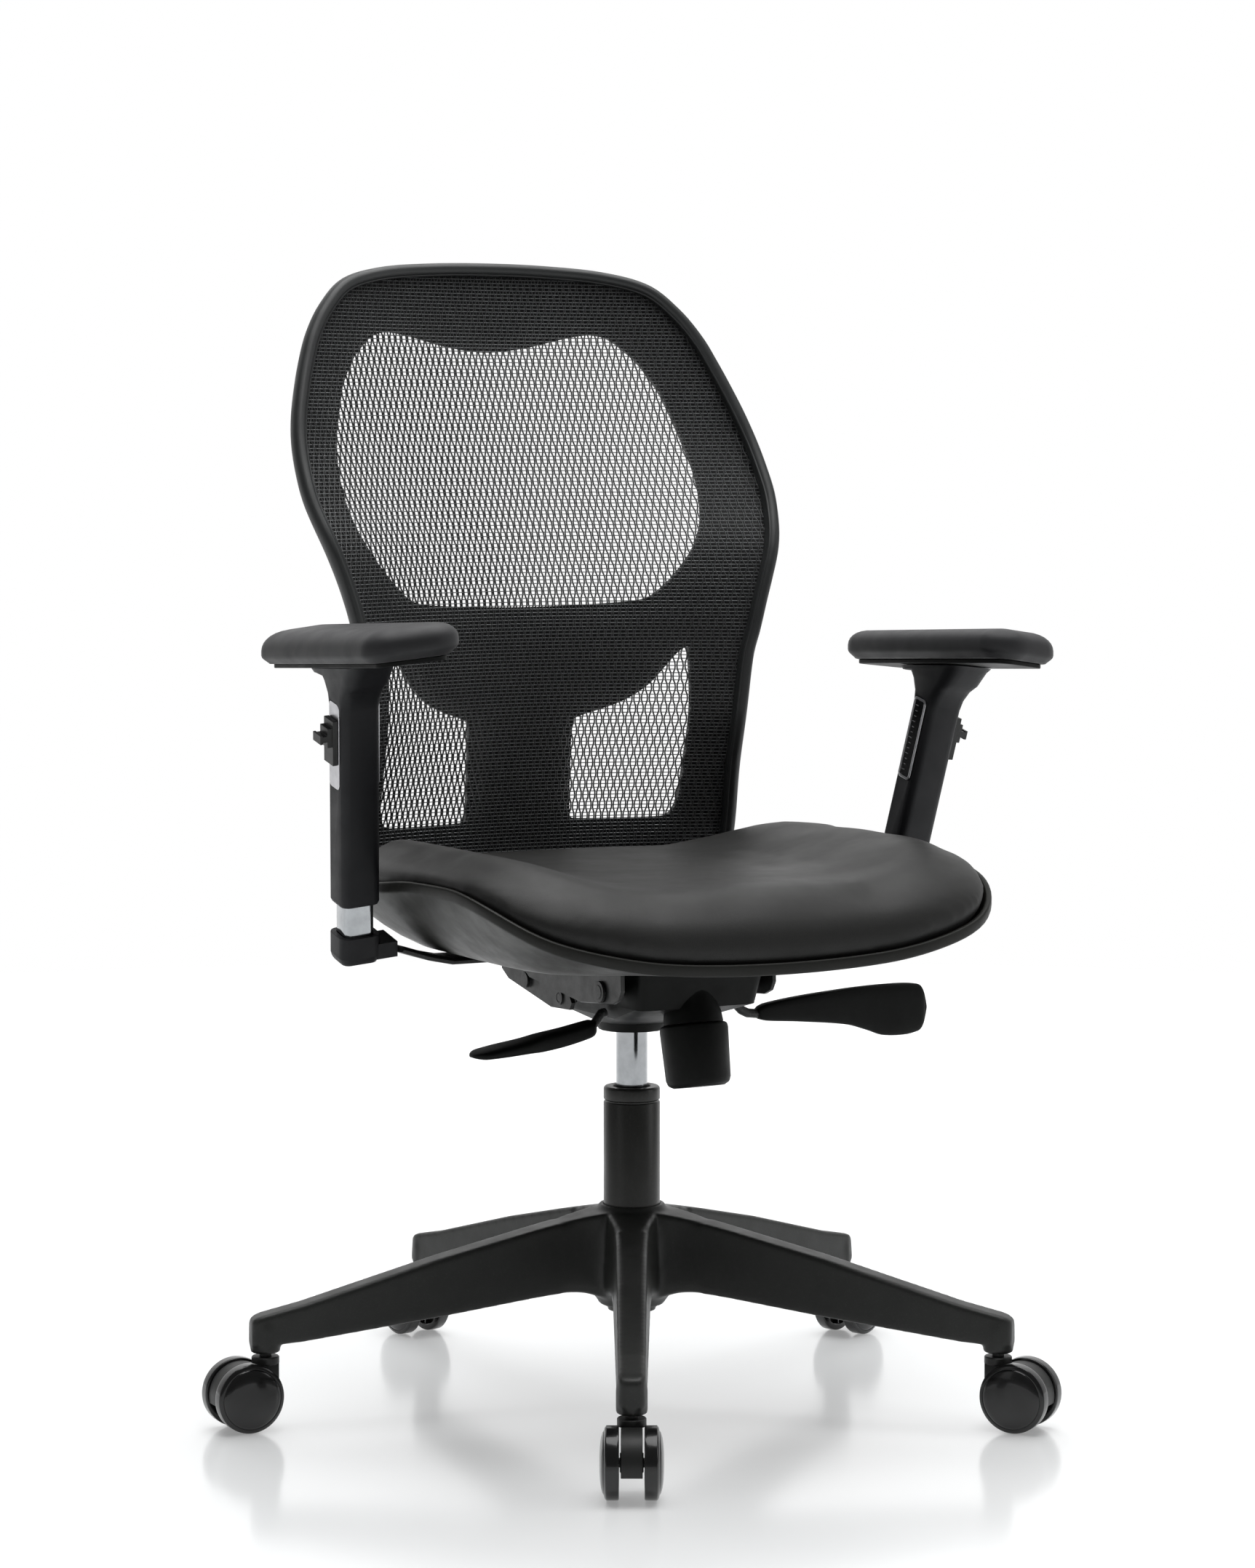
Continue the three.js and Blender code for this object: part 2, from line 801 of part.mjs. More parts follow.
function underside(i, s) {
  const climb = Math.max(0, (s - flatShare) / (1 - flatShare)) ** 1.6;
  return SHELL_BOTTOM + (rimHeights[i] - RIM_BAND - SHELL_BOTTOM) * climb;
}
const seatRing = (s, height) =>
  seatOutline.map(([x, y], i) => [
    SEAT_CENTRE[0] + (x - SEAT_CENTRE[0]) * s,
    SEAT_CENTRE[1] + (y - SEAT_CENTRE[1]) * s,
    height(i, s),
  ]);
{
  const under = (i, s) => underside(i, s);
  const over = (lift) => (i, s) => underside(i, s) + lift;
  const rim = (drop) => (i) => rimHeights[i] - drop;
  add(
    "seat_shell",
    skin([
      seatRing(0.35, under),
      seatRing(flatShare, under),
      seatRing(0.8, under),
      seatRing(0.88, under),
      seatRing(0.95, under),
      seatRing(1, under),
      seatRing(1.004, rim(RIM_BAND - 1)),
      seatRing(1.004, rim(1)),
      seatRing(0.999, rim(0)),
      seatRing(0.986, rim(0)),
      seatRing(0.977, over(6)),
      seatRing(0.94, over(4)),
      seatRing(0.88, over(4)),
      seatRing(0.8, over(4)),
      seatRing(flatShare, over(4)),
      seatRing(0.35, over(4)),
    ]),
    "shell",
  );
}
function cushionTop([x, y]) {
  const ease = (k) => {
    const c = Math.min(1, Math.max(0, k));
    return c * c * (3 - 2 * c);
  };
  const side = ease((Math.abs(x) - 95) / 115) * BOLSTER_RISE;
  const fade = 1 - 0.55 * ease((y - 60) / 130);
  const front = 1 - 0.35 * ease((-150 - y) / 90);
  return CUSHION_TOP + side * fade * front;
}
{
  const lift = (d) => (i, s) => underside(i, s) + d;
  const rise = (share) => (i, s) => {
    const foot = rimHeights[i] + 1.2;
    const spot = [seatOutline[i][0] * s, SEAT_CENTRE[1] + (seatOutline[i][1] - SEAT_CENTRE[1]) * s];
    return foot + (cushionTop(spot) - foot) * share;
  };
  add(
    "seat_cushion",
    skin([
      seatRing(0.35, lift(4.8)),
      seatRing(flatShare, lift(4.8)),
      seatRing(0.8, lift(5.4)),
      seatRing(0.88, lift(5.8)),
      seatRing(0.94, lift(6.2)),
      seatRing(0.97, lift(8.5)),
      seatRing(0.978, (i) => rimHeights[i] + 0.9),
      seatRing(0.997, rise(0.04)),
      seatRing(1.004, rise(0.16)),
      seatRing(1.004, rise(0.32)),
      seatRing(0.992, rise(0.52)),
      seatRing(0.968, rise(0.7)),
      seatRing(0.93, rise(0.85)),
      seatRing(0.875, rise(0.95)),
      seatRing(0.8, rise(0.99)),
      seatRing(0.66, rise(1)),
      seatRing(0.5, rise(1)),
      seatRing(0.3, rise(1)),
    ]),
    "vinyl",
  );
}

// ---- armrests -----------------------------------------------------------------------------
const lean = new THREE.Vector3(...ARM_LEAN).normalize();
const leanSide = new THREE.Vector3(0, lean.z, -lean.y).normalize(); // local y
const leanOut = leanSide.clone().cross(lean).normalize(); // local x, outwards
const armFrame = new THREE.Matrix4()
  .makeBasis(leanOut, leanSide, lean)
  .setPosition(...ARM_FOOT);
const padHeight = (x, y) => 653.6 + (44 - y) * 0.044 - (x - 252) * 0.115;

// Local armrest point to the chair's frame, for the sitter's left side.
const armPoint = ([x, y, z]) => {
  const p = new THREE.Vector3(x, y, z).applyMatrix4(armFrame);
  return [p.x, p.y, p.z];
};
// The same point pushed along the upright until it is `under` below the pad's lower face.
const armPointAtPad = ([x, y, z], under) => {
  const p = new THREE.Vector3(...armPoint([x, y, z]));
  const gap = padHeight(p.x, p.y) - under - p.z;
  const rate = lean.z + 0.044 * lean.y + 0.115 * lean.x;
  p.addScaledVector(lean, gap / rate);
  return [p.x, p.y, p.z];
};
const armSkin = (rings) => skin(rings.map((ring) => ring.map(armPoint)));
const armBox = (x0, x1, y0, y1, z0, z1) => box(x0, x1, y0, y1, z0, z1).applyMatrix4(armFrame);

function armParts() {
  const cupBlank = armSkin([
    level(oblong(31, 28, 6), -12.5),
    level(oblong(35, 32, 8), -9.5),
    level(oblong(37, 34, 9), -6),
    level(oblong(37, 34, 9), 12.5),
  ]);
  const lug = armBox(-33, -14, -15, 15, -10, 4);
  const cupBore = armSkin([level(oblong(28, 26, 6.5), -6.5), level(oblong(28, 26, 6.5), 14)]);
  const parts = {};
  parts.arm_cup = [cut(joined(cupBlank, lug), cupBore), "plastic"];
  parts.arm_bracket = [
    bar(
      [
        [104, 0, 405.3],
        [184, 0, 405.3],
        [206, 0, 410],
        [231.5, 0, 418],
      ],
      oblong(46, 6, 1.5, 1),
      [0, 1, 0],
    ),
    "steel",
  ];
  parts.arm_tube = [
    armSkin([level(oblong(27, 25, 6), -6), level(oblong(27, 25, 6), 150)]),
    "chrome",
  ];
  const start = SLEEVE_START;
  const outside = [
    level(oblong(34, 31, 7), start),
    level(oblong(36, 33, 8), start + 2),
    level(oblong(36, 33, 8), 198),
    level(oblong(37, 38, 9), 208),
    level(oblong(39, 50, 10), 218),
    level(oblong(42, 68, 12), 226),
  ].map((ring) => ring.map(armPoint));
  outside.push(level(oblong(44, 88, 15), 232).map((p) => armPointAtPad(p, 9)));
  outside.push(level(oblong(46, 96, 15), 234).map((p) => armPointAtPad(p, 5.4)));
  const hollow = armSkin([level(oblong(28, 26, 6.5), start - 2), level(oblong(28, 26, 6.5), 192)]);
  // A flat slip in the upright's outer or inner face, with rounded corners.
  const slip = (x0, x1, half, low, high, r) => {
    const outline = oblong(2 * half, high - low, r, 3, 0, (low + high) / 2);
    const ring = (x) => outline.map(([y, z]) => armPoint([x, y, z]));
    return prism(ring(x0), ring(x1));
  };
  const recesses = [
    slip(16.6, 20, 10.4, 128, 204, 4.4),
    slip(-20, -16.6, 10.4, 128, 204, 4.4),
  ];
  parts.arm_sleeve = [cut(skin(outside), hollow, ...recesses), "pad"];
  parts.arm_slot_trim = [slip(16.9, 18.4, 10, 128.4, 203.6, 4), "silver"];
  parts.arm_button = [
    joined(
      armBox(18.7, 23.4, -9.5, 9.5, 151, 190),
      armBox(22.5, 34, -8, 8, 172, 177.5),
      armBox(22.5, 27.5, -8, 8, 167, 184),
      armBox(31.5, 34, -8, 8, 170.5, 178.5),
    ),
    "plastic",
  ];
  parts.arm_window = [slip(-18.4, -16.9, 10, 128.4, 203.6, 4), "silver"];
  const padRing = (inset, up) =>
    rounded(PAD_CORNERS, 26, 4, inset).map(([x, y]) => [x, y, padHeight(x, y) + up]);
  const plateRing = (up) =>
    rounded(PAD_CORNERS, 22, 4, 12).map(([x, y]) => [x, y, padHeight(x, y) + up]);
  parts.arm_pad_base = [skin([plateRing(-4.2), plateRing(-0.4)]), "plastic"];
  parts.arm_pad = [
    skin([
      padRing(7, 0),
      padRing(1.5, 4.5),
      padRing(0, 8),
      padRing(0, 16),
      padRing(2.5, 21.5),
      padRing(8, 25.5),
      padRing(16, 27.2),
    ]),
    "pad",
  ];
  return parts;
}
const MOVES_WITH_SLEEVE = new Set([
  "arm_sleeve",
  "arm_slot_trim",
  "arm_button",
  "arm_window",
  "arm_pad_base",
  "arm_pad",
]);
for (const side of ["left", "right"]) {
  for (const [name, [geometry, look]] of Object.entries(armParts())) {
    const raised = MOVES_WITH_SLEEVE.has(name) ? ARM_RAISE[side] : 0;
    const g = geometry.clone().translate(lean.x * raised, lean.y * raised, lean.z * raised);
    if (side === "right") g.scale(-1, 1, 1);
    add(`${name}_${side}`, g, look);
  }
}

// ---- back ---------------------------------------------------------------------------------
const backY = (x, z) => along(BACK_LINE, z, 1) - along(BACK_LINE, z, 2) * x * x;

// The whole edge as a closed ring of [x, z], evenly redrawn.
const backRing = (() => {
  const half = BACK_EDGE.map(([x, z]) => new THREE.Vector2(x, z));
  const other = BACK_EDGE.slice(1, -1)
    .reverse()
    .map(([x, z]) => new THREE.Vector2(-x, z));
  const spline = new THREE.SplineCurve([...half, ...other, half[0].clone()]);
  return spline.getSpacedPoints(60).slice(0, -1);
})();
// The edge drawn inwards by a distance in its own plane.
function backInset(distance) {
  const n = backRing.length;
  return backRing.map((p, i) => {
    const before = backRing[(i + n - 1) % n];
    const after = backRing[(i + 1) % n];
    const t = after.clone().sub(before).normalize();
    return [p.x - t.y * distance, p.y + t.x * distance];
  });
}
const BACK_MIDDLE = [0, 720];
function backDish(inset, front, rear, shares) {
  const edge = typeof inset === "number" ? backInset(inset) : inset;
  const ring = (s, shift) =>
    edge.map(([x, z]) => {
      const [u, v] = [
        BACK_MIDDLE[0] + (x - BACK_MIDDLE[0]) * s,
        BACK_MIDDLE[1] + (z - BACK_MIDDLE[1]) * s,
      ];
      return [u, backY(u, v) + shift, v];
    });
  return skin([
    ...shares.map((s) => ring(s, front)).reverse(),
    ...shares.map((s) => ring(s, rear)),
  ]);
}
{
  const n = backRing.length;
  const middle = backInset(RIM_WIDTH / 2).map(([x, z]) => new THREE.Vector3(x, backY(x, z), z));
  const rings = middle.map((p, i) => {
    const t = middle[(i + 1) % n].clone().sub(middle[(i + n - 1) % n]).normalize();
    const v = new THREE.Vector3(0, 1, 0).addScaledVector(t, -t.y).normalize();
    const u = t.clone().cross(v).normalize();
    return Array.from({ length: 8 }, (_, k) => {
      const a = (2 * Math.PI * k) / 8;
      const q = p
        .clone()
        .addScaledVector(u, (RIM_WIDTH / 2) * Math.cos(a))
        .addScaledVector(v, (RIM_DEPTH / 2) * Math.sin(a));
      return [q.x, q.y, q.z];
    });
  });
  add("back_rim", loop(rings), "plastic");
}
add("back_mesh", backDish(RIM_WIDTH + 0.5, -0.7, 0.7, [1, 0.8, 0.6, 0.4, 0.2]), "mesh");
{
  const panelEdge = backInset(RIM_WIDTH - PANEL_TUCK);
  const panel = backDish(
    panelEdge,
    PANEL_SETBACK,
    PANEL_SETBACK + PANEL_THICK,
    [1, 0.85, 0.65, 0.45, 0.2],
  );
  const through = (outline) =>
    prism(
      outline.map(([x, z]) => [x, 60, z]),
      outline.map(([x, z]) => [x, 400, z]),
    );
  const mirrored = (outline) => outline.map(([x, z]) => [-x, z]);
  const upper = [...UPPER_WINDOW, ...mirrored(UPPER_WINDOW).slice(1, -1).reverse()];
  const spine = skin([
    level(oblong(92, 14, 4, 2, 0, 237), 447),
    level(oblong(92, 14, 4, 2, 0, 233), 560),
    level(oblong(86, 12, 4, 2, 0, 231), 618),
    level(oblong(60, 8, 3, 2, 0, 226), 660),
  ]);
  const windows = [upper, LOWER_WINDOW, mirrored(LOWER_WINDOW)].map(through);
  add("back_panel", joined(cut(panel, ...windows), spine), "plastic");
}
{
  const path = [
    [0, 84, 379.7],
    [0, 130, 379.7],
    [0, 205, 383],
    [0, 236, 390],
    [0, 252, 406],
    [0, 257, 430],
    [0, 256, 450],
    [0, 250, 560],
    [0, 247.5, 600],
  ];
  add("back_upright", bar(path, oblong(64, 3.6, 1.4, 2), [1, 0, 0]), "steel");
}
[470, 570].forEach((z, i) => {
  const y = z === 470 ? 254.9 : 249.6;
  const bolt = turned([
    [0, 0],
    [8, 0],
    [8, 2.5],
    [5.5, 4.5],
    [0, 4.5],
  ], 16).rotateX(-Math.PI / 2);
  add(`back_bolt_${i + 1}`, move(bolt, 0, y + 2.6, z), "steel");
});

export default chair;
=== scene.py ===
import json
import math
from math import cos, pi, radians, sin

import bmesh
import bpy
import numpy as np
from mathutils import Matrix, Vector


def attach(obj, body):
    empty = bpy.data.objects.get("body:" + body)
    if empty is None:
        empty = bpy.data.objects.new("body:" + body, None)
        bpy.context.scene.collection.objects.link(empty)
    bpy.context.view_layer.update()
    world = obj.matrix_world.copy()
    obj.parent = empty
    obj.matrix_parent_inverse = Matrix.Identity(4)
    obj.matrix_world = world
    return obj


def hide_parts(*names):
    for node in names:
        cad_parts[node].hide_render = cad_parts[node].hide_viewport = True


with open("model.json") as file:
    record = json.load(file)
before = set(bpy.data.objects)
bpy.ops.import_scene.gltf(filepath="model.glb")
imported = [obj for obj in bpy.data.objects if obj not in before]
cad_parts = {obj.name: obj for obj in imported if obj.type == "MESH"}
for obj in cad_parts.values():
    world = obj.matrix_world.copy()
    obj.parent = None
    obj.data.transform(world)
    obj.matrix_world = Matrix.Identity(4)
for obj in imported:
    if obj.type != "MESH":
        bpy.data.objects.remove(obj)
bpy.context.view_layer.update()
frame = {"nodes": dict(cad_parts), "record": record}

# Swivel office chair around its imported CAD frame. Metres; the shape numbers below are in
# millimetres and are scaled by MM when a mesh is made. +Z up, the chair faces -Y.
MM = 0.001
NODES = frame["nodes"]
BODY_OF = {n: b for b, ns in frame["record"]["behaviour"]["bodies"].items() for n in ns}
collection = bpy.context.scene.collection


# ---- node materials ----
def add_node(tree, kind, inputs=None, **settings):
    """A node whose inputs are linked to sockets or set to values."""
    node = tree.nodes.new(kind)
    for key, value in settings.items():
        setattr(node, key, value)
    for key, value in (inputs or {}).items():
        if isinstance(value, bpy.types.NodeSocket):
            tree.links.new(value, node.inputs[key])
        else:
            node.inputs[key].default_value = value
    return node


class Look:
    """A node material whose textures are measured in metres on the object's own axes."""

    def __init__(self, name, **surface):
        self.material = bpy.data.materials.new(name)
        self.material.use_nodes = True
        self.nodes = self.material.node_tree.nodes
        self.links = self.material.node_tree.links
        self.shader = self.nodes["Principled BSDF"]
        for key, value in surface.items():
            self.shader.inputs[key.replace("_", " ")].default_value = value
        self.where = self.nodes.new("ShaderNodeTexCoord").outputs["Object"]
        self.normal = None

    def put(self, kind, inputs=None, **settings):
        return add_node(self.material.node_tree, kind, inputs, **settings)

    def stretched(self, scale):
        return self.put("ShaderNodeMapping", {"Vector": self.where, "Scale": scale}).outputs[0]

    def noise(self, size, detail=2.0, rough=0.5, stretch=None):
        """Noise whose features are about `size` metres across."""
        inputs = {
            "Vector": self.stretched(stretch) if stretch else self.where,
            "Scale": 1 / size,
            "Detail": detail,
            "Roughness": rough,
        }
        return self.put("ShaderNodeTexNoise", inputs).outputs["Fac"]

    def cell_edges(self, size):
        """Distance to the borders of cells about `size` metres across."""
        inputs = {"Vector": self.where, "Scale": 1 / size}
        return self.put("ShaderNodeTexVoronoi", inputs, feature="DISTANCE_TO_EDGE").outputs["Distance"]

    def span(self, value, low, high, to_low=0.0, to_high=1.0):
        inputs = {0: value, 1: low, 2: high, 3: to_low, 4: to_high}
        return self.put("ShaderNodeMapRange", inputs).outputs[0]

    def math(self, kind, a, b):
        return self.put("ShaderNodeMath", {0: a, 1: b}, operation=kind).outputs[0]

    def blend(self, share, a, b):
        mix = self.put("ShaderNodeMix", {0: share}, data_type="RGBA")
        for socket, value in ((mix.inputs[6], a), (mix.inputs[7], b)):
            if isinstance(value, bpy.types.NodeSocket):
                self.links.new(value, socket)
            else:
                socket.default_value = (*value, 1.0)
        return mix.outputs[2]

    def colour(self, value):
        self.links.new(value, self.shader.inputs["Base Color"])

    def roughness(self, value):
        self.links.new(value, self.shader.inputs["Roughness"])

    def bump(self, height, depth, strength=1.0):
        """Adds relief of `depth` metres for a height that runs from 0 to 1."""
        inputs = {"Height": height, "Distance": depth, "Strength": strength}
        if self.normal is not None:
            inputs["Normal"] = self.normal
        self.normal = self.put("ShaderNodeBump", inputs).outputs[0]
        self.links.new(self.normal, self.shader.inputs["Normal"])

    def worn_edges(self):
        """0 on flat and hollow surfaces, up to 1 along outer edges."""
        point = self.put("ShaderNodeNewGeometry").outputs["Pointiness"]
        return self.span(point, 0.52, 0.62)


def shade(colour, factor):
    return tuple(min(1.0, c * factor) for c in colour)


def moulded(name, colour, rough, grain=0.0006, depth=0.00004, mottle=0.12, wear=0.6, **surface):
    """Moulded plastic: fine grain, faint mottling, dust and paler edges."""
    look = Look(name, **surface)
    wide = look.noise(0.06, 3)
    base = look.blend(look.span(wide, 0.35, 0.65), shade(colour, 1 - mottle), shade(colour, 1 + mottle))
    speck = look.span(look.noise(grain * 1.7, 2), 0.55, 0.8)
    base = look.blend(look.math("MULTIPLY", speck, 0.35), base, shade(colour, 2.1))
    edge = look.math("MULTIPLY", look.worn_edges(), wear)
    look.colour(look.blend(edge, base, shade(colour, 2.2)))
    patch = look.noise(0.025, 4, 0.6)
    look.roughness(look.span(patch, 0.3, 0.7, rough - 0.05, rough + 0.07))
    look.bump(look.noise(grain, 3, 0.65), depth)
    look.bump(look.noise(0.018, 1), 0.00006, 0.5)
    return look.material


def painted(name, colour, rough):
    """Powder-coated steel: orange peel, small chips of brighter metal along the edges."""
    look = Look(name)
    wide = look.noise(0.04, 3)
    base = look.blend(look.span(wide, 0.35, 0.65), shade(colour, 0.85), shade(colour, 1.2))
    chip = look.math("MULTIPLY", look.worn_edges(), look.span(look.noise(0.002, 3), 0.5, 0.62))
    look.colour(look.blend(look.math("MULTIPLY", chip, 0.5), base, (0.16, 0.16, 0.165)))
    look.roughness(look.span(look.noise(0.012, 4, 0.6), 0.3, 0.7, rough - 0.06, rough + 0.08))
    look.bump(look.noise(0.0009, 2), 0.00005)
    return look.material


def metal(name, colour, rough, stretch, streak=0.0006):
    """Bare or plated metal with fine drawn lines, a little haze and smudges."""
    look = Look(name, Metallic=1.0)
    lines = look.noise(streak, 3, 0.6, stretch=stretch)
    smudge = look.noise(0.014, 4, 0.6)
    look.colour(look.blend(look.span(smudge, 0.35, 0.7), colour, shade(colour, 0.82)))
    both = look.math("ADD", look.math("MULTIPLY", lines, 0.5), look.math("MULTIPLY", smudge, 0.5))
    look.roughness(look.span(both, 0.3, 0.7, max(0.03, rough - 0.06), rough + 0.1))
    look.bump(lines, 0.000012)
    return look.material


def vinyl_look():
    """Smooth coated upholstery: fine pebble grain, shallow wrinkles, patches rubbed smoother."""
    look = Look("seat_vinyl", Sheen_Weight=0.05, Sheen_Roughness=0.45, Specular_IOR_Level=0.36)
    colour = (0.0175, 0.0176, 0.0167)
    wide = look.noise(0.09, 3)
    base = look.blend(look.span(wide, 0.3, 0.7), shade(colour, 0.9), shade(colour, 1.1))
    pore = look.span(look.cell_edges(0.0011), 0.0, 0.12)
    look.colour(look.blend(pore, shade(colour, 0.72), base))
    rubbed = look.noise(0.05, 4, 0.6)
    look.roughness(look.span(rubbed, 0.3, 0.7, 0.44, 0.56))
    look.bump(pore, 0.00005, 0.6)
    look.bump(look.noise(0.0035, 3, 0.6), 0.00009, 0.7)
    look.bump(look.noise(0.035, 2), 0.0004, 0.35)
    return look.material


def pad_look():
    """Soft self-skinned foam: dull, with a fine leather-like grain."""
    look = Look("arm_pad_soft", Specular_IOR_Level=0.4, Sheen_Weight=0.1, Sheen_Roughness=0.5)
    colour = (0.019, 0.0193, 0.0215)
    wide = look.noise(0.05, 3)
    base = look.blend(look.span(wide, 0.3, 0.7), shade(colour, 0.88), shade(colour, 1.12))
    rub = look.span(look.noise(0.03, 4, 0.65), 0.5, 0.75)
    look.colour(look.blend(look.math("MULTIPLY", rub, 0.3), base, shade(colour, 1.5)))
    look.roughness(look.span(look.noise(0.02, 3), 0.3, 0.7, 0.5, 0.62))
    crackle = look.span(look.cell_edges(0.0013), 0.0, 0.15)
    look.bump(crackle, 0.00004, 0.5)
    look.bump(look.noise(0.0009, 2), 0.00004)
    return look.material


def yarn_look(name, colour):
    """Glossy monofilament and textured yarn; the paler streaks along its twist are painted glints."""
    look = Look(name, Specular_IOR_Level=0.85)
    twist_glints = look.noise(0.0011, 2, stretch=(1, 1, 3))
    # Streaks along the twist: the darker ones are the yarn's own, the paler ones are painted glints.
    base = look.blend(look.span(twist_glints, 0.4, 0.65), shade(colour, 0.6), shade(colour, 2.2))
    patch = look.span(look.noise(0.05, 2), 0.35, 0.65)
    look.colour(look.blend(look.math("MULTIPLY", patch, 0.35), base, shade(colour, 2.6)))
    look.roughness(look.span(twist_glints, 0.3, 0.7, 0.32, 0.55))
    look.bump(look.noise(0.0005, 2), 0.00005)
    return look.material


LOOKS = {
    "base_nylon": moulded("base_nylon", (0.027, 0.0284, 0.0264), 0.43, 0.0009, 0.00006),
    "black_plastic": moulded("black_plastic", (0.012, 0.0125, 0.012), 0.44, 0.0007, 0.00004),
    "column_black": moulded("column_black", (0.036, 0.0368, 0.0335), 0.34, 0.0012, 0.00007, 0.1, 0.3),
    "wheel_black": moulded("wheel_black", (0.009, 0.0092, 0.0095), 0.2, 0.0015, 0.00001, 0.1, 0.5,
                           Coat_Weight=0.3),
    # Black plastic darkened below its own colour for parts under the seat and arm pads: partly the plastic's
    # black, partly painted shade where they sit in shadow.
    "housing_black": moulded("housing_black", (0.0036, 0.0042, 0.0038), 0.5, 0.0011, 0.00009,
                             Specular_IOR_Level=0.16),
    "panel_black": moulded("panel_black", (0.006, 0.0062, 0.006), 0.5, 0.0009, 0.00006),
    "rim_grey": moulded("rim_grey", (0.021, 0.023, 0.0235), 0.42, 0.0006, 0.00003, 0.1, 0.2),
    "seat_shell_plastic": moulded("seat_shell_plastic", (0.0105, 0.0108, 0.0088), 0.44, 0.0008, 0.00005,
                                  Specular_IOR_Level=0.3),
    "arm_plastic": moulded("arm_plastic", (0.0075, 0.0078, 0.0098), 0.5, 0.0006, 0.00003, 0.1, 0.3,
                           Specular_IOR_Level=0.3),
    "dark_steel": painted("dark_steel", (0.0075, 0.0082, 0.0078), 0.42),
    "window_dark": moulded("window_dark", (0.004, 0.0042, 0.0048), 0.14, 0.0006, 0.00001, 0.1, 0.1),
    "pin_steel": metal("pin_steel", (0.12, 0.12, 0.12), 0.35, (1, 1, 1)),
    "chrome": metal("chrome", (0.42, 0.435, 0.45), 0.12, (1, 1, 0.08)),
    "satin_silver": metal("satin_silver", (0.55, 0.55, 0.57), 0.32, (1, 1, 0.1), 0.0004),
    "seat_vinyl": vinyl_look(),
    "arm_pad_soft": pad_look(),
    "back_mesh_fabric": yarn_look("mesh_yarn", (0.017, 0.018, 0.0184)),
    # The cross yarns are dark like the warps; their pale grey is painted highlight for the light they catch.
    "cross_yarn_painted_glint": yarn_look("cross_yarn_painted_glint", (0.125, 0.131, 0.134)),
}


# ---- mesh helpers ----
def new_piece(name, data, look, body, replaces=(), slot=None):
    piece = bpy.data.objects.new(name, data)
    collection.objects.link(piece)
    data.materials.clear()
    data.materials.append(LOOKS[look])
    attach(piece, body)
    if replaces:
        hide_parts(*replaces)
    return piece


def mesh_of(name, points, faces, sharp=40):
    """A smooth-shaded mesh from points in millimetres, with edges over `sharp` degrees kept crisp."""
    data = bpy.data.meshes.new(name)
    data.from_pydata([(p[0] * MM, p[1] * MM, p[2] * MM) for p in points], [], faces)
    bm = bmesh.new()
    bm.from_mesh(data)
    bmesh.ops.remove_doubles(bm, verts=bm.verts, dist=1e-6)
    bmesh.ops.recalc_face_normals(bm, faces=bm.faces)
    bm.to_mesh(data)
    bm.free()
    smooth(data, sharp)
    return data


def smooth(data, sharp):
    data.shade_smooth()
    data.set_sharp_from_angle(angle=radians(sharp))


def skin(rings, closed=False):
    """Quads over rings of equal length; open ends get a cap, closed chains join end to end."""
    n, m = len(rings[0]), len(rings)
    points = [p for ring in rings for p in ring]
    faces = []
    for k in range(m if closed else m - 1):
        j = (k + 1) % m
        for i in range(n):
            h = (i + 1) % n
            faces.append((k * n + i, k * n + h, j * n + h, j * n + i))
    if not closed:
        faces.append(tuple(range(n))[::-1])
        faces.append(tuple((m - 1) * n + i for i in range(n)))
    return points, faces


def joined_skins(*parts):
    points, faces = [], []
    for p, f in parts:
        start = len(points)
        points += list(p)
        faces += [tuple(start + i for i in face) for face in f]
    return points, faces


def lathe(profile, segments, place=None):
    """Rings of a solid of revolution about Z from (radius, height) pairs; radius 0 closes the end."""
    rings = []
    turns = [2 * pi * i / segments for i in range(segments)]
    for radius, z in profile:
        r = max(radius, 0.02)
        rings.append([(r * cos(a), r * sin(a), z) for a in turns])
    points, faces = skin(rings)
    return (moved(points, place) if place else points), faces


def moved(points, matrix):
    """Points in millimetres through a matrix in millimetres."""
    return [tuple(matrix @ Vector(p)) for p in points]


def add_bevel(piece, width, angle, segments=3):
    """Rounds the edges that are sharper than `angle` degrees."""
    bevel = piece.modifiers.new("rounded_edges", "BEVEL")
    bevel.width = width * MM
    bevel.segments = segments
    bevel.limit_method = "ANGLE"
    bevel.angle_limit = radians(angle)
    bevel.harden_normals = True
    bevel.use_clamp_overlap = True


FLAT_ANGLE = 1.2  # degrees; CAD facets that meet at less than this are merged


def refined(node, look, bevel, angle, slot):
    """A copy of a CAD node's surface with its edges rounded and its curves shaded smooth."""
    bm = bmesh.new()
    bm.from_mesh(NODES[node].data)
    bmesh.ops.remove_doubles(bm, verts=bm.verts, dist=2e-5)
    bmesh.ops.dissolve_limit(bm, angle_limit=radians(FLAT_ANGLE), verts=bm.verts, edges=bm.edges)
    data = bpy.data.meshes.new(node + "_surface")
    bm.to_mesh(data)
    bm.free()
    smooth(data, angle)
    piece = new_piece(node + "_finished", data, look, BODY_OF[node], [node], slot)
    if bevel:
        add_bevel(piece, bevel, angle)


def eased(rows, x, column=1):
    """A smooth curve through rows whose first column rises, flat beyond both ends."""
    xs = [r[0] for r in rows]
    ys = [r[column] for r in rows]
    if x <= xs[0]:
        return ys[0]
    if x >= xs[-1]:
        return ys[-1]
    i = next(k for k in range(1, len(xs)) if x <= xs[k])

    def slope(k):
        a, b = max(k - 1, 0), min(k + 1, len(xs) - 1)
        return (ys[b] - ys[a]) / (xs[b] - xs[a])

    h = xs[i] - xs[i - 1]
    t = (x - xs[i - 1]) / h
    a, b, c, d = ys[i - 1], ys[i], slope(i - 1) * h, slope(i) * h
    mix = a * (2 * t**3 - 3 * t * t + 1) + c * (t**3 - 2 * t * t + t) + b * (3 * t * t - 2 * t**3)
    return mix + d * (t**3 - t * t)


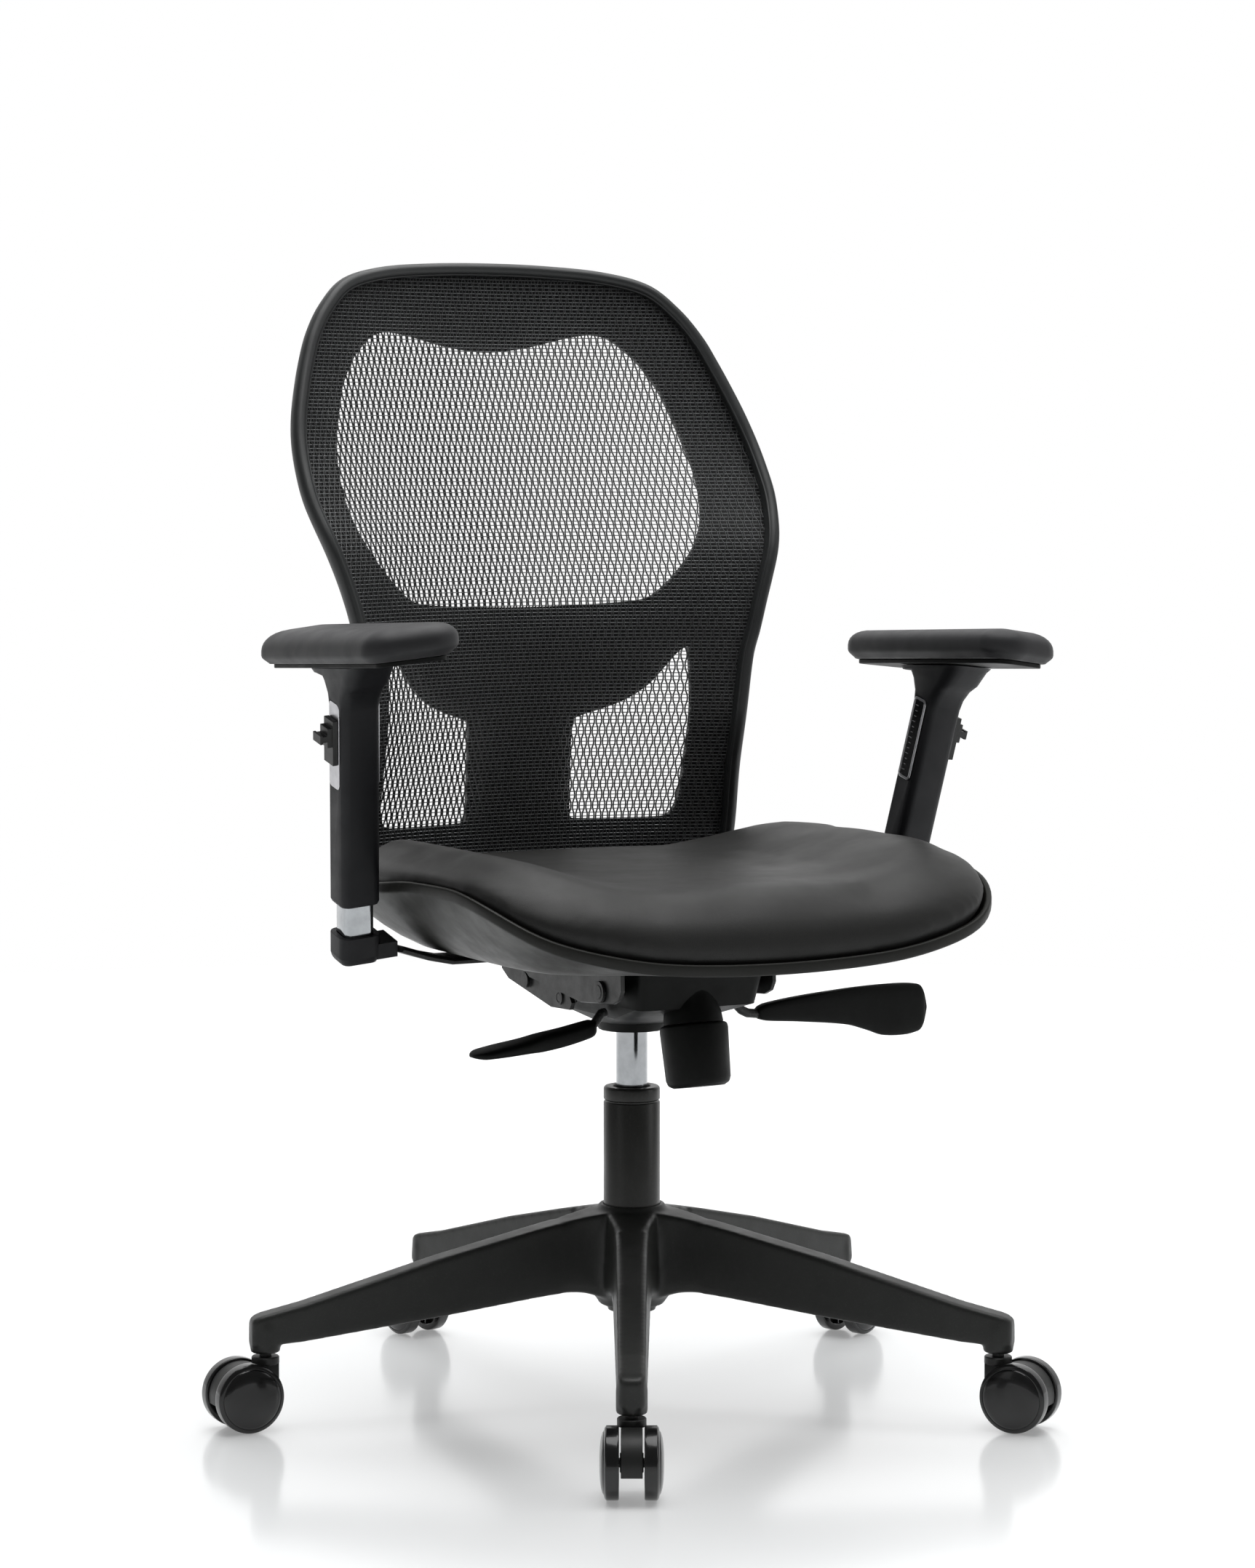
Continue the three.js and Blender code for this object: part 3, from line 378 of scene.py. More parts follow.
def rounded(corners, radius, steps=8, inset=0.0, least=3.0):
    """A rounded convex polygon, corners in order, with the same count of points at each corner."""
    n = len(corners)
    area = sum(corners[i][0] * corners[(i + 1) % n][1] - corners[(i + 1) % n][0] * corners[i][1]
               for i in range(n))
    side = 1 if area > 0 else -1
    lines = []
    for i in range(n):
        (x, y), (u, v) = corners[i], corners[(i + 1) % n]
        d = math.hypot(u - x, v - y)
        dx, dy = (u - x) / d, (v - y) / d
        lines.append((x - side * dy * inset, y + side * dx * inset, dx, dy))
    r = max(radius - inset, least)
    points = []
    for i in range(n):
        ax, ay, adx, ady = lines[i - 1]
        bx, by, bdx, bdy = lines[i]
        det = adx * bdy - ady * bdx
        t = ((bx - ax) * bdy - (by - ay) * bdx) / det
        px, py = ax + adx * t, ay + ady * t
        turn = abs(math.atan2(det, adx * bdx + ady * bdy))
        reach = r * math.tan(turn / 2)
        sx, sy = px - adx * reach, py - ady * reach
        cx, cy = sx - side * ady * r, sy + side * adx * r
        start = math.atan2(sy - cy, sx - cx)
        for k in range(steps + 1):
            a = start + side * turn * k / steps
            points.append((cx + r * cos(a), cy + r * sin(a)))
    return points


def oblong(w, d, r, steps, x, y):
    """A rounded rectangle about (x, y), w by d."""
    box = [(x - w / 2, y - d / 2), (x + w / 2, y - d / 2), (x + w / 2, y + d / 2), (x - w / 2, y + d / 2)]
    return rounded(box, r, steps, least=0.5)


# ---- star base and casters ----
BASE_ANGLES = (-118, -46, 26, 98, 170)
CASTER_TURN = (0, -9, 0, 0, 9)
STEM_RADIUS = 333
TRAIL = 21
WHEEL_R = 30
WHEEL_RIBS = 8
BAND_OUTER = 28
BAND_INNER = 24
ARM_ROUND_FROM = 334
ARM_ROUND_REACH = 12.2
CASTING_VOXEL = 0.0019
BORE_EDGE = 0.0295  # metres from the axis; the casting is left crisp inside it
FILLET_EDGE = 0.072  # metres from the axis; the fillets between hub and arms end here
HUB_SHOULDER = 0.166  # metres up; the hub's lip above it keeps its shape
ARM_STATIONS = (
    # distance out, top and bottom height, half width at the top and at the bottom
    (0, 176, 88, 24, 27), (30, 172.6, 96, 22, 25.5), (48, 169.3, 101.5, 17, 21), (66, 165.3, 102.6, 14.8, 18),
    (90, 160.2, 100, 13.8, 16.6), (180, 139, 88, 12.6, 15), (300, 106.5, 74, 11.6, 13),
    (346.2, 96.6, 71, 11.3, 12.5),
)


def eased_row(rows, x):
    return [eased(rows, x, k) for k in range(1, len(rows[0]))]


def base_arm(angle):
    """One arm of the base: a tapering box with soft edges, rounded over at its end, with a stem socket."""
    rings = []
    out = [r[0] for r in ARM_STATIONS]
    for x in list(range(0, 326, 12)) + [330, 336, 340, 343, 345, 346.2]:
        top, bottom, wt, wb = (float(np.interp(x, out, [r[k] for r in ARM_STATIONS])) for k in range(1, 5))
        over = max(0.0, x - ARM_ROUND_FROM) / ARM_ROUND_REACH
        shrink = 1 - math.sqrt(max(0.0, 1 - over * over)) if over else 0.0
        wt, wb, top = wt - 5.5 * shrink, wb - 4.5 * shrink, top - 4 * shrink
        corners = [(wb, bottom), (wt, top), (-wt, top), (-wb, bottom)]
        rings.append([(x, y, z) for y, z in rounded(corners, 2.8, 5)])
    arm = skin(rings)
    socket = lathe([(0, 64.9), (12.2, 64.9), (13, 65.8), (13, 86), (12, 92), (0, 92)], 40,
                   Matrix.Translation((STEM_RADIUS, 0, 0)))
    turn = Matrix.Rotation(radians(angle), 4, "Z")
    return [(moved(p, turn), f) for p, f in (arm, socket)]


def apply_modifiers(piece):
    graph = bpy.context.evaluated_depsgraph_get()
    data = bpy.data.meshes.new_from_object(piece.evaluated_get(graph), depsgraph=graph)
    piece.modifiers.clear()
    piece.data = data


def voxel_union(piece, size):
    """Remakes the mesh as one even skin, `size` metres between points."""
    remesh = piece.modifiers.new("one_skin", "REMESH")
    remesh.mode = "VOXEL"
    remesh.voxel_size = size
    apply_modifiers(piece)


def from_axis(co):
    return math.hypot(co.x, co.y)


def relax(piece, times, chosen):
    """Smooths the part of a dense mesh where chosen(co) is true."""
    bm = bmesh.new()
    bm.from_mesh(piece.data)
    verts = [v for v in bm.verts if chosen(v.co)]
    for _ in range(times):
        bmesh.ops.smooth_vert(bm, verts=verts, factor=0.5, use_axis_x=True, use_axis_y=True, use_axis_z=True)
    bm.to_mesh(piece.data)
    bm.free()


hub = lathe([(0, 87), (27, 87), (30, 89), (33, 94), (34.5, 108), (34.5, 150), (32.5, 166), (30, 175),
             (28.6, 177), (27.5, 177.5), (25.5, 177.5), (25.3, 176), (25.3, 160), (0, 160)], 72)
points, faces = joined_skins(hub, *[part for a in BASE_ANGLES for part in base_arm(a)])
star = new_piece("base_casting", mesh_of("base_casting", points, faces), "base_nylon", "base", ["base_star"],
                 "base_nylon")
voxel_union(star, CASTING_VOXEL)
relax(star, 26, lambda co: BORE_EDGE < from_axis(co) < FILLET_EDGE and co.z < HUB_SHOULDER)
relax(star, 3, lambda co: from_axis(co) > BORE_EDGE)
smooth(star.data, 180)


def wheel(side):
    """One wheel, with a domed cover outside and a ribbed hollow inside."""
    tread = [(4.4, 10.6), (9, 10.6), (9, 15.5), (12, 16.2), (23.2, 16.2), (24, 15.5), (24, 10.8), (24.6, 10.3),
             (28.9, 10.3), (29.6, 10.6), (29.95, 11.3), (30, 12.4), (30, 19.6), (29.9, 20.4), (29.2, 21.3),
             (27.2, 22.2), (26.6, 22.25), (26.4, 22.0), (26.1, 22.0), (25.8, 22.5), (24, 23.6), (20, 24.8),
             (14, 25.6), (7, 26), (0, 26.05)]
    body = lathe(tread, 72)
    ribs = []
    for k in range(WHEEL_RIBS):
        turn = Matrix.Rotation(2 * pi * k / WHEEL_RIBS, 4, "Z")
        box = [[(x, y, z) for x, y in ((8.6, -0.7), (24.4, -0.7), (24.4, 0.7), (8.6, 0.7))]
               for z in (11.6, 16.6)]
        p, f = skin(box)
        ribs.append((moved(p, turn), f))
    points, faces = joined_skins(body, *ribs)
    flip = Matrix.Rotation(-pi / 2 * side, 4, "X")
    return moved(points, Matrix.Translation((TRAIL, 0, WHEEL_R)) @ flip), faces


def fork():
    """The body between the two wheels: a band arching over the axle, its neck, ribs and boss."""
    def arc(radius, degrees):
        return [(TRAIL + radius * cos(radians(a)), WHEEL_R + radius * sin(radians(a))) for a in degrees]

    outer = arc(BAND_OUTER, range(-13, 151, 5))
    ring = outer + arc(BAND_INNER, range(150, -14, -5))
    band = []
    for y in (-8.8, -8.4, 8.4, 8.8):
        chamfer = 0.4 if abs(y) > 8.5 else 0.0
        pulls = [chamfer / BAND_OUTER if i < len(outer) else -chamfer / BAND_INNER for i in range(len(ring))]
        band.append([(x + (TRAIL - x) * k, y, z + (WHEEL_R - z) * k) for (x, z), k in zip(ring, pulls)])
    neck = lathe([(0, 55), (11, 55), (12, 56), (12, 61.2), (11.2, 62), (0, 62)], 40)
    stem = lathe([(0, 60), (5.2, 60), (5.2, 88), (0, 88)], 24)
    shoulder = skin([[(x, y, z) for x, y in oblong(18 - c, 17.2 - c, 2.4, 4, -1, 0)]
                     for z, c in ((42, 0), (57, 0), (58.4, 1.5))])
    axle = Matrix.Translation((TRAIL, 0, WHEEL_R)) @ Matrix.Rotation(pi / 2, 4, "X")
    boss = lathe([(4.1, -9.6), (7.6, -9.6), (8, -9.2), (8, 9.2), (7.6, 9.6), (4.1, 9.6)], 32, axle)
    bars = []
    middle = (TRAIL, WHEEL_R)
    for (x0, z0), (x1, z1), t in (((-3, 50), middle, 3), (middle, (TRAIL + 26, WHEEL_R + 2), 2.5)):
        d = Vector((x1 - x0, z1 - z0)).normalized()
        rows = []
        for x, z in ((x0, z0), (x1, z1)):
            rows.append([(x - d.y * s * t, y, z + d.x * s * t)
                         for s, y in ((-1, -5.5), (1, -5.5), (1, 5.5), (-1, 5.5))])
        bars.append(skin(rows))
    return joined_skins(skin(band), neck, stem, shoulder, boss, *bars)


for i, (angle, turn) in enumerate(zip(BASE_ANGLES, CASTER_TURN)):
    n = i + 1
    a = radians(angle)
    stem_at = Matrix.Translation((STEM_RADIUS * cos(a), STEM_RADIUS * sin(a), 0))
    place = stem_at @ Matrix.Rotation(a + radians(turn), 4, "Z")
    points, faces = fork()
    new_piece(f"caster_body_{n}", mesh_of("caster_body", moved(points, place), faces, 35), "black_plastic",
              f"caster_{n}", [f"caster_fork_{n}"], "black_plastic")
    for side, mark in ((1, "a"), (-1, "b")):
        points, faces = wheel(side)
        new_piece(f"caster_disc_{n}{mark}", mesh_of("caster_disc", moved(points, place), faces, 28),
                  "wheel_black", f"wheel_{n}{mark}", [f"caster_wheel_{n}{mark}"], "wheel_black")
    NODES[f"caster_axle_{n}"].data.materials[0] = LOOKS["pin_steel"]

# ---- gas column ----
column = [(0, 82), (21, 82), (24, 90), (25, 120), (25, 267.6), (24.6, 268.3), (24, 268.8), (24, 269.7),
          (20, 269.7), (20, 265), (0, 265)]
collar = [(14.6, 262), (19.4, 262), (19.4, 270.3), (24.4, 270.3), (25, 270.9), (25, 279.6), (24.6, 280.8),
          (23.6, 281.8), (22.6, 282), (17.4, 282), (16.6, 281.4), (16, 279.2), (14.6, 278.6)]
rod = [(0, 140), (13, 140), (14, 142), (14, 336), (13, 356), (0, 356)]
for name, profile, look, body, node, slot in (
    ("column_tube", column, "column_black", "base", "gas_column", "black_plastic"),
    ("column_cap", collar + [collar[0]], "column_black", "base", "column_collar", "black_plastic"),
    ("lift_rod", rod, "chrome", "lift", "piston_rod", "chrome"),
):
    new_piece(name, mesh_of(name, *lathe(profile, 96), sharp=35), look, body, [node], slot)

# ---- tilt mechanism and levers ----
# The housing and knob take the darkened black plastic, which is painted shade under the seat.
refined("tilt_housing", "housing_black", 1.6, 28, "base_nylon")
refined("tension_knob", "housing_black", 1.4, 30, "black_plastic")
for node, bevel, angle in (("seat_carrier", 0.9, 32), ("back_bracket", 0.8, 32), ("front_pivot_pin", 0.6, 32),
                           ("rear_pivot_pin", 0.4, 32), ("lift_lever_rod", 0, 40), ("tilt_lever_rod", 0, 40)):
    refined(node, "dark_steel", bevel, angle, "dark_steel")


def boxy(value, power):
    """A sine or cosine with its power changed, which squares up the round section it draws."""
    return math.copysign(abs(value) ** power, value)


def paddle(name, node, stations, middle_y, end_round, wide_in_z):
    """A lever handle along X with rounded ends; stations give X, bottom, top and half width in Y."""
    first, last = stations[0][0], stations[-1][0]
    reach = abs(last - first)
    rings = []
    end_steps = 1 - 0.12 * (1 - np.sin(np.linspace(0, pi / 2, 14)))
    for t in np.concatenate([np.linspace(0, 0.02, 5), np.linspace(0.04, 0.88, 40), end_steps]):
        x = first + (last - first) * t
        rows = stations if last > first else stations[::-1]
        low, high, half = eased_row(rows, x)
        d_end = (1 - t) * reach
        close = math.sqrt(max(0.0, 1 - (1 - min(d_end, end_round) / end_round) ** 2))
        close = max(close, 0.04) if t > 0.5 else min(1.0, 0.86 + t * reach / 2 * 0.14)
        mid, h = (low + high) / 2, (high - low) / 2
        across = close if not wide_in_z else max(close, 0.5)
        ring = []
        for k in range(32):
            a = 2 * pi * k / 32
            ring.append((x, middle_y + half * across * boxy(cos(a), 0.55),
                         mid + h * close * boxy(sin(a), 0.55)))
        rings.append(ring)
    return new_piece(name, mesh_of(name, *skin(rings), sharp=60), "housing_black", BODY_OF[node], [node],
                     "black_plastic")


LIFT_PADDLE = ((108, 338.5, 349, 6), (116, 336.5, 352, 6.8), (150, 333.5, 356.5, 7), (200, 327.5, 360.5, 6.5),
               (222, 321, 361.6, 6.2), (238, 315.5, 362, 6), (262, 314.5, 361.8, 6), (276, 317, 360, 5.8),
               (284, 319, 358, 5.6))
TILT_PADDLE = ((-187, 325.4, 331.5, 12), (-178, 325.6, 332.8, 15.5), (-160, 326.4, 336, 17),
               (-136, 327.8, 340, 15.5), (-122, 328.3, 343.3, 13.5), (-100, 331.5, 346.8, 12.5),
               (-76, 337, 351.5, 11), (-70, 339.5, 352.5, 9))
# The lever handles take the darkened black plastic, which is painted shade under the seat.
paddle("lift_lever_handle", "lift_lever_paddle", LIFT_PADDLE, -34, 9, True)
paddle("tilt_lever_handle", "tilt_lever_paddle", TILT_PADDLE[::-1], -60, 12, False)

# ---- seat ----
SEAT_POINTS = 176
SEAT_HALF_WIDTH = 249.5
SEAT_MIDDLE_Y = -38
SEAT_REACH = 232
SHELL_BOTTOM = 409
RIM_BAND = 10
FRONT_RIM_FROM = -160
RIM_BY_WIDTH = ((0, 420.4), (50, 421.4), (116, 426), (164, 435), (189, 441.5), (213, 450), (238, 470),
                (249, 483))
RIM_BY_DEPTH = ((-160, 483), (-55, 481), (-20, 476.5), (100, 467), (150, 461), (196, 454))
CUSHION_TOP = 479
BOLSTER_RISE = 27
FLAT_SHARE = 0.7


def seat_outline():
    points = []
    for i in range(SEAT_POINTS):
        a = 2 * pi * i / SEAT_POINTS
        c, s = cos(a), sin(a)
        power = 5 if s < 0 else 3.2
        points.append((SEAT_HALF_WIDTH * boxy(c, 2 / power), SEAT_MIDDLE_Y + SEAT_REACH * boxy(s, 2 / power)))
    return points


def even_ring(points, count):
    """The closed ring redrawn with points an equal distance apart."""
    ring = np.array(list(points) + [points[0]], float)
    run = np.concatenate([[0], np.cumsum(np.linalg.norm(np.diff(ring, axis=0), axis=1))])
    at = np.linspace(0, run[-1], count, endpoint=False)
    return [tuple(np.interp(s, run, ring[:, k]) for k in range(ring.shape[1])) for s in at]


outline = even_ring(seat_outline(), SEAT_POINTS)


def raw_rim(x, y):
    return eased(RIM_BY_WIDTH, abs(x)) if y < FRONT_RIM_FROM else eased(RIM_BY_DEPTH, y)


rim = np.array([raw_rim(x, y) for x, y in outline])
for _ in range(6):
    rim = (np.roll(rim, 1) + 2 * rim + np.roll(rim, -1)) / 4


def underside(i, s):
    climb = max(0.0, (s - FLAT_SHARE) / (1 - FLAT_SHARE)) ** 1.6
    return SHELL_BOTTOM + (rim[i] - RIM_BAND - SHELL_BOTTOM) * climb


def seat_ring(s, height):
    return [(x * s, SEAT_MIDDLE_Y + (y - SEAT_MIDDLE_Y) * s, height(i, s)) for i, (x, y) in enumerate(outline)]


def over(lift):
    return lambda i, s: underside(i, s) + lift


def under_rim(drop):
    return lambda i, s: rim[i] - drop


shell_rings = [seat_ring(s, over(0)) for s in (0.3, 0.7, 0.76, 0.82, 0.87, 0.91, 0.945, 0.972, 0.99, 0.998)]
shell_rings += [seat_ring(s, under_rim(d)) for s, d in (
    (1.0025, 9.2), (1.004, 8), (1.004, 2), (1.0025, 0.7), (0.999, 0), (0.989, 0), (0.986, 0.8))]
shell_rings += [seat_ring(s, over(d)) for s, d in ((0.977, 6), (0.94, 4), (0.88, 4), (0.8, 4), (0.7, 4),
                                                   (0.3, 4))]
new_piece("seat_pan", mesh_of("seat_pan", *skin(shell_rings), sharp=50), "seat_shell_plastic", "seat",
          ["seat_shell"], "seat_shell_plastic")


def ease(k):
    c = min(1.0, max(0.0, k))
    return c * c * (3 - 2 * c)


def cushion_top(x, y):
    side = ease((abs(x) - 95) / 115) * BOLSTER_RISE
    fade = 1 - 0.55 * ease((y - 60) / 130)
    front = 1 - 0.35 * ease((-150 - y) / 90)
    return CUSHION_TOP + side * fade * front


def rise(share, drop=0.0):
    def height(i, s):
        x, y = outline[i]
        foot = rim[i] + 1.2
        top = cushion_top(x * s, SEAT_MIDDLE_Y + (y - SEAT_MIDDLE_Y) * s)
        return foot + (top - drop - foot) * share
    return height


SWELL = 3.0  # how far the padding is left to swell, so the cut starts this much lower
ROLL = 0.25  # share of the half width over which the cushion's edge rolls over
cushion_rings = [seat_ring(s, over(d)) for s, d in (
    (0.3, 4.8), (0.5, 4.8), (0.7, 4.8), (0.8, 5.4), (0.88, 5.8), (0.94, 6.4), (0.966, 8.5))]
cushion_rings.append(seat_ring(0.974, under_rim(-0.9)))
cushion_rings.append(seat_ring(0.987, rise(0.03)))
for turn in range(6, 91, 6):
    over_edge = 1 - abs(cos(radians(turn))) ** 0.9
    share = sin(radians(turn)) ** 0.9
    cushion_rings.append(seat_ring(0.996 - ROLL * over_edge, rise(share, SWELL * share)))
cushion_rings += [seat_ring(s, rise(1, SWELL)) for s in (0.68, 0.6, 0.5, 0.38, 0.25, 0.12)]
cushion = new_piece("seat_cushion_cover", mesh_of("seat_cushion_cover", *skin(cushion_rings), sharp=180),
                    "seat_vinyl", "seat", ["seat_cushion"], "seat_vinyl")


def swell(piece, voxel, pressure, cap, hold):
    """Blows the padding up with a short cloth run; `hold` gives how far each rest point may move."""
    bpy.context.view_layer.objects.active = piece
    voxel_union(piece, voxel)
    rest = coordinates(piece.data)
    cloth = piece.modifiers.new("swell", "CLOTH")
    cloth.settings.use_pressure = True
    cloth.settings.uniform_pressure_force = pressure
    cloth.settings.effector_weights.gravity = 0
    cloth.settings.quality = 5
    cloth.collision_settings.use_collision = False
    for number in range(1, 21):
        bpy.context.scene.frame_set(number)
    apply_modifiers(piece)
    bpy.context.scene.frame_set(1)
    now = coordinates(piece.data)
    step = now - rest
    length = np.linalg.norm(step, axis=1)
    limit = cap * np.array([hold(p) for p in rest])
    now = rest + step * np.minimum(1, limit / np.maximum(length, 1e-9))[:, None]
    piece.data.vertices.foreach_set("co", now.astype(np.float32).ravel())


def coordinates(data):
    co = np.zeros(len(data.vertices) * 3, np.float32)
    data.vertices.foreach_get("co", co)
    return co.reshape(-1, 3).astype(float)


def cushion_hold(p):
    """Free on top and at the sides, fixed where the pan holds the cover."""
    height = np.interp(math.hypot(p[0], p[1] - SEAT_MIDDLE_Y * MM), (0.0, 0.25), (0.424, 0.455))
    return float(np.clip((p[2] - height) / 0.02, 0, 1))


swell(cushion, 0.005, 4.0, 0.004, cushion_hold)
relax(cushion, 6, lambda co: co.z > 0.425)
smooth(cushion.data, 180)
cushion.modifiers.new("fine", "SUBSURF").levels = 1
cushion.modifiers["fine"].render_levels = 1

# ---- armrests ----
ARM_FOOT = Vector((267, 0, 421.5))
LEAN = Vector((0.106, -0.238, 1)).normalized()
LEAN_SIDE = Vector((0, LEAN.z, -LEAN.y)).normalized()
LEAN_OUT = LEAN_SIDE.cross(LEAN).normalized()
ARM_RAISE = {"left": 0.0, "right": 16.5}
PAD_HEIGHT = 653.6
PAD_RISE = 0.044
PAD_FALL = 0.115
PAD_RINGS = (
    # inset, height over the lower face, corner radius where it isn't the usual one
    (16, -0.2), (8.5, -0.2), (7, 0.1), (6.2, 0.9), (2.2, 4.2), (0.6, 6), (0, 8), (0, 12), (0.6, 15.4),
    (2, 18.4), (4.4, 21.1), (7.8, 23.5), (12, 25.3), (17, 26.5), (24, 27.2), (34, 27.4, 38),
)
WINDOW_MIDDLE = 166
TICK_COUNT = 13
PAD_CORNERS = ((252, 74), (332, 64), (332, -176), (252, -207))
ARM_FRAME = Matrix((
    (LEAN_OUT.x, LEAN_SIDE.x, LEAN.x, ARM_FOOT.x),
    (LEAN_OUT.y, LEAN_SIDE.y, LEAN.y, ARM_FOOT.y),
    (LEAN_OUT.z, LEAN_SIDE.z, LEAN.z, ARM_FOOT.z),
    (0, 0, 0, 1),
))


def pad_height(x, y):
    """The pad's lower face, which rises to the front and falls to the outside."""
    return PAD_HEIGHT + (44 - y) * PAD_RISE - (x - 252) * PAD_FALL


def pad_ring(inset, up, radius=26):
    return [(x, y, pad_height(x, y) + up) for x, y in rounded(PAD_CORNERS, radius, 12, inset)]


def oblong_at(half_y, half_z, radius, steps=6):
    """A rounded rectangle about the middle, whose half sizes are half_y and half_z."""
    y, z = half_y - radius, half_z - radius
    points = []
    for cy, cz, start in ((y, z, 0), (-y, z, 90), (-y, -z, 180), (y, -z, 270)):
        for i in range(steps + 1):
            a = radians(start + 90 * i / steps)
            points.append((cy + radius * cos(a), cz + radius * sin(a)))
    return points


def window_frame():
    """The window's raised border: rings up its outer wall, then down its inner wall."""
    walls = [(x, outer, 37.6 + outer - 9.8, 4.2) for x, outer in ((-18.2, 9.8), (-18.9, 9.8), (-19.1, 9.5))]
    walls += [(x, inner, 35.6 - (inner - 7.4), 2.8) for x, inner in ((-19.1, 7.7), (-18.9, 7.4), (-18.2, 7.4))]
    return skin([[(x, y, z + WINDOW_MIDDLE) for y, z in oblong_at(half_y, half_z, radius)]
                 for x, half_y, half_z, radius in walls], closed=True)


def window_ticks():
    """Plain raised marks, every third one longer."""
    ticks = []
    for k in range(TICK_COUNT):
        middle, reach = 136 + 5 * k, 3.4 if k % 3 else 5.2
        low, high = middle - 0.35, middle + 0.35
        mark = ((1.2, low), (1.2 + reach, low), (1.2 + reach, high), (1.2, high))
        ticks.append(skin([[(x, y, z) for y, z in mark] for x in (-18.35, -18.55)]))
    return joined_skins(*ticks)


for side in ("left", "right"):
    mirror = -1 if side == "right" else 1
    raised = LEAN * ARM_RAISE[side]

    def handed(points):
        return [((p[0] + raised.x) * mirror, p[1] + raised.y, p[2] + raised.z) for p in points]

    points, faces = skin([pad_ring(*ring) for ring in PAD_RINGS])
    pad = new_piece(f"arm_pad_cover_{side}", mesh_of("arm_pad_cover", handed(points), faces, 60),
                    "arm_pad_soft", f"arm_{side}", [f"arm_pad_{side}"], "arm_pad_soft")
    for part, *how in (
        # The pad base takes the darkened black plastic, which is painted shade under the pad.
        ("pad_base", "housing_black", 0.8, 30, "black_plastic"),
        ("sleeve", "arm_plastic", 0.6, 40, "arm_plastic"),
        ("cup", "arm_plastic", 1.2, 32, "black_plastic"),
        ("bracket", "dark_steel", 1.0, 32, "dark_steel"),
        ("tube", "chrome", 0, 32, "chrome"),
        ("slot_trim", "satin_silver", 0.5, 32, "satin_silver"),
        ("window", "window_dark", 0.5, 32, "satin_silver"),
    ):
        refined(f"arm_{part}_{side}", *how)
    for name, (points, faces) in (("arm_window_frame", window_frame()), ("arm_window_ticks", window_ticks())):
        new_piece(f"{name}_{side}", mesh_of(name, handed(moved(points, ARM_FRAME)), faces, 50), "satin_silver",
                  f"arm_{side}", [], "satin_silver")
    refined(f"arm_button_{side}", "black_plastic", 0.9, 32, "black_plastic")

# ---- back ----
BACK_LINE = (
    (430, 221, 0.0007), (500, 218, 0.0012), (550, 216, 0.0017), (600, 213.5, 0.0021), (650, 210, 0.00195),
    (700, 207, 0.0017), (750, 220, 0.0016), (800, 238.5, 0.0013), (850, 256, 0.0011), (900, 269.5, 0.00102),
    (950, 281, 0.001), (1020, 292, 0.001),
)
BACK_EDGE = (
    (0, 432), (90, 432), (160, 433.5), (187, 440), (198, 456), (201, 480), (200, 505), (195, 550), (193.5, 600),
    (199, 650), (205, 675), (211.6, 700), (219.5, 725), (228, 750), (235, 775), (239.5, 800), (239.5, 825),
    (237, 850), (231.5, 875), (223.5, 900), (214, 925), (202.5, 950), (184, 976), (157, 999), (115, 1010.5),
    (60, 1015.5), (0, 1017),
)
RIM_WIDTH = 12
RIM_DEPTH = 17
BEAD_R = 1.5
PANEL_SETBACK = 10.8
PANEL_THICK = 5
UPPER_WINDOW = (
    (0, 933), (40, 938), (80, 948), (105, 952), (124, 948), (148, 926), (163.5, 900), (172, 875), (178.5, 850),
    (183, 825), (183, 800), (178, 775), (165.5, 750), (145, 725), (126, 708), (112, 703), (60, 699.5), (0, 698),
)
LOWER_WINDOW = (
    (152, 662), (143, 654), (122, 626), (105, 613), (88, 605), (56, 595), (53, 590), (53, 503), (57, 499),
    (140, 499), (149, 503), (154, 516), (155, 600), (154, 658),
)


def back_y(x, z):
    return eased(BACK_LINE, z, 1) - eased(BACK_LINE, z, 2) * x * x


def spline_ring(points, count):
    """A smooth closed curve through the points, redrawn evenly."""
    n = len(points)
    p = np.array(points, float)
    dense = []
    for i in range(n):
        p0, p1, p2, p3 = p[i - 1], p[i], p[(i + 1) % n], p[(i + 2) % n]
        for t in np.linspace(0, 1, 12, endpoint=False):
            square, cube = 2 * p0 - 5 * p1 + 4 * p2 - p3, 3 * p1 - p0 - 3 * p2 + p3
            dense.append(0.5 * (2 * p1 + (p2 - p0) * t + square * t * t + cube * t**3))
    return even_ring([tuple(q) for q in dense], count)


def both_sides(half):
    """The whole outline from the half on +X, whose first and last points lie on the middle line."""
    return list(half) + [(-x, z) for x, z in half[-2:0:-1]]


BACK_RING = spline_ring(both_sides(BACK_EDGE), 300)


def inset_ring(ring, distance):
    """The closed anticlockwise ring drawn inwards."""
    p = np.array(ring)
    t = np.roll(p, -1, axis=0) - np.roll(p, 1, axis=0)
    t /= np.linalg.norm(t, axis=1)[:, None]
    return p + np.stack([-t[:, 1], t[:, 0]], axis=1) * distance


def rim_section():
    """The rim's cross-section: u outwards, v to the rear."""
    angles = [2 * pi * k / 28 for k in range(28)]
    return [(RIM_WIDTH / 2 * boxy(cos(a), 0.85), RIM_DEPTH / 2 * boxy(sin(a), 0.85)) for a in angles]


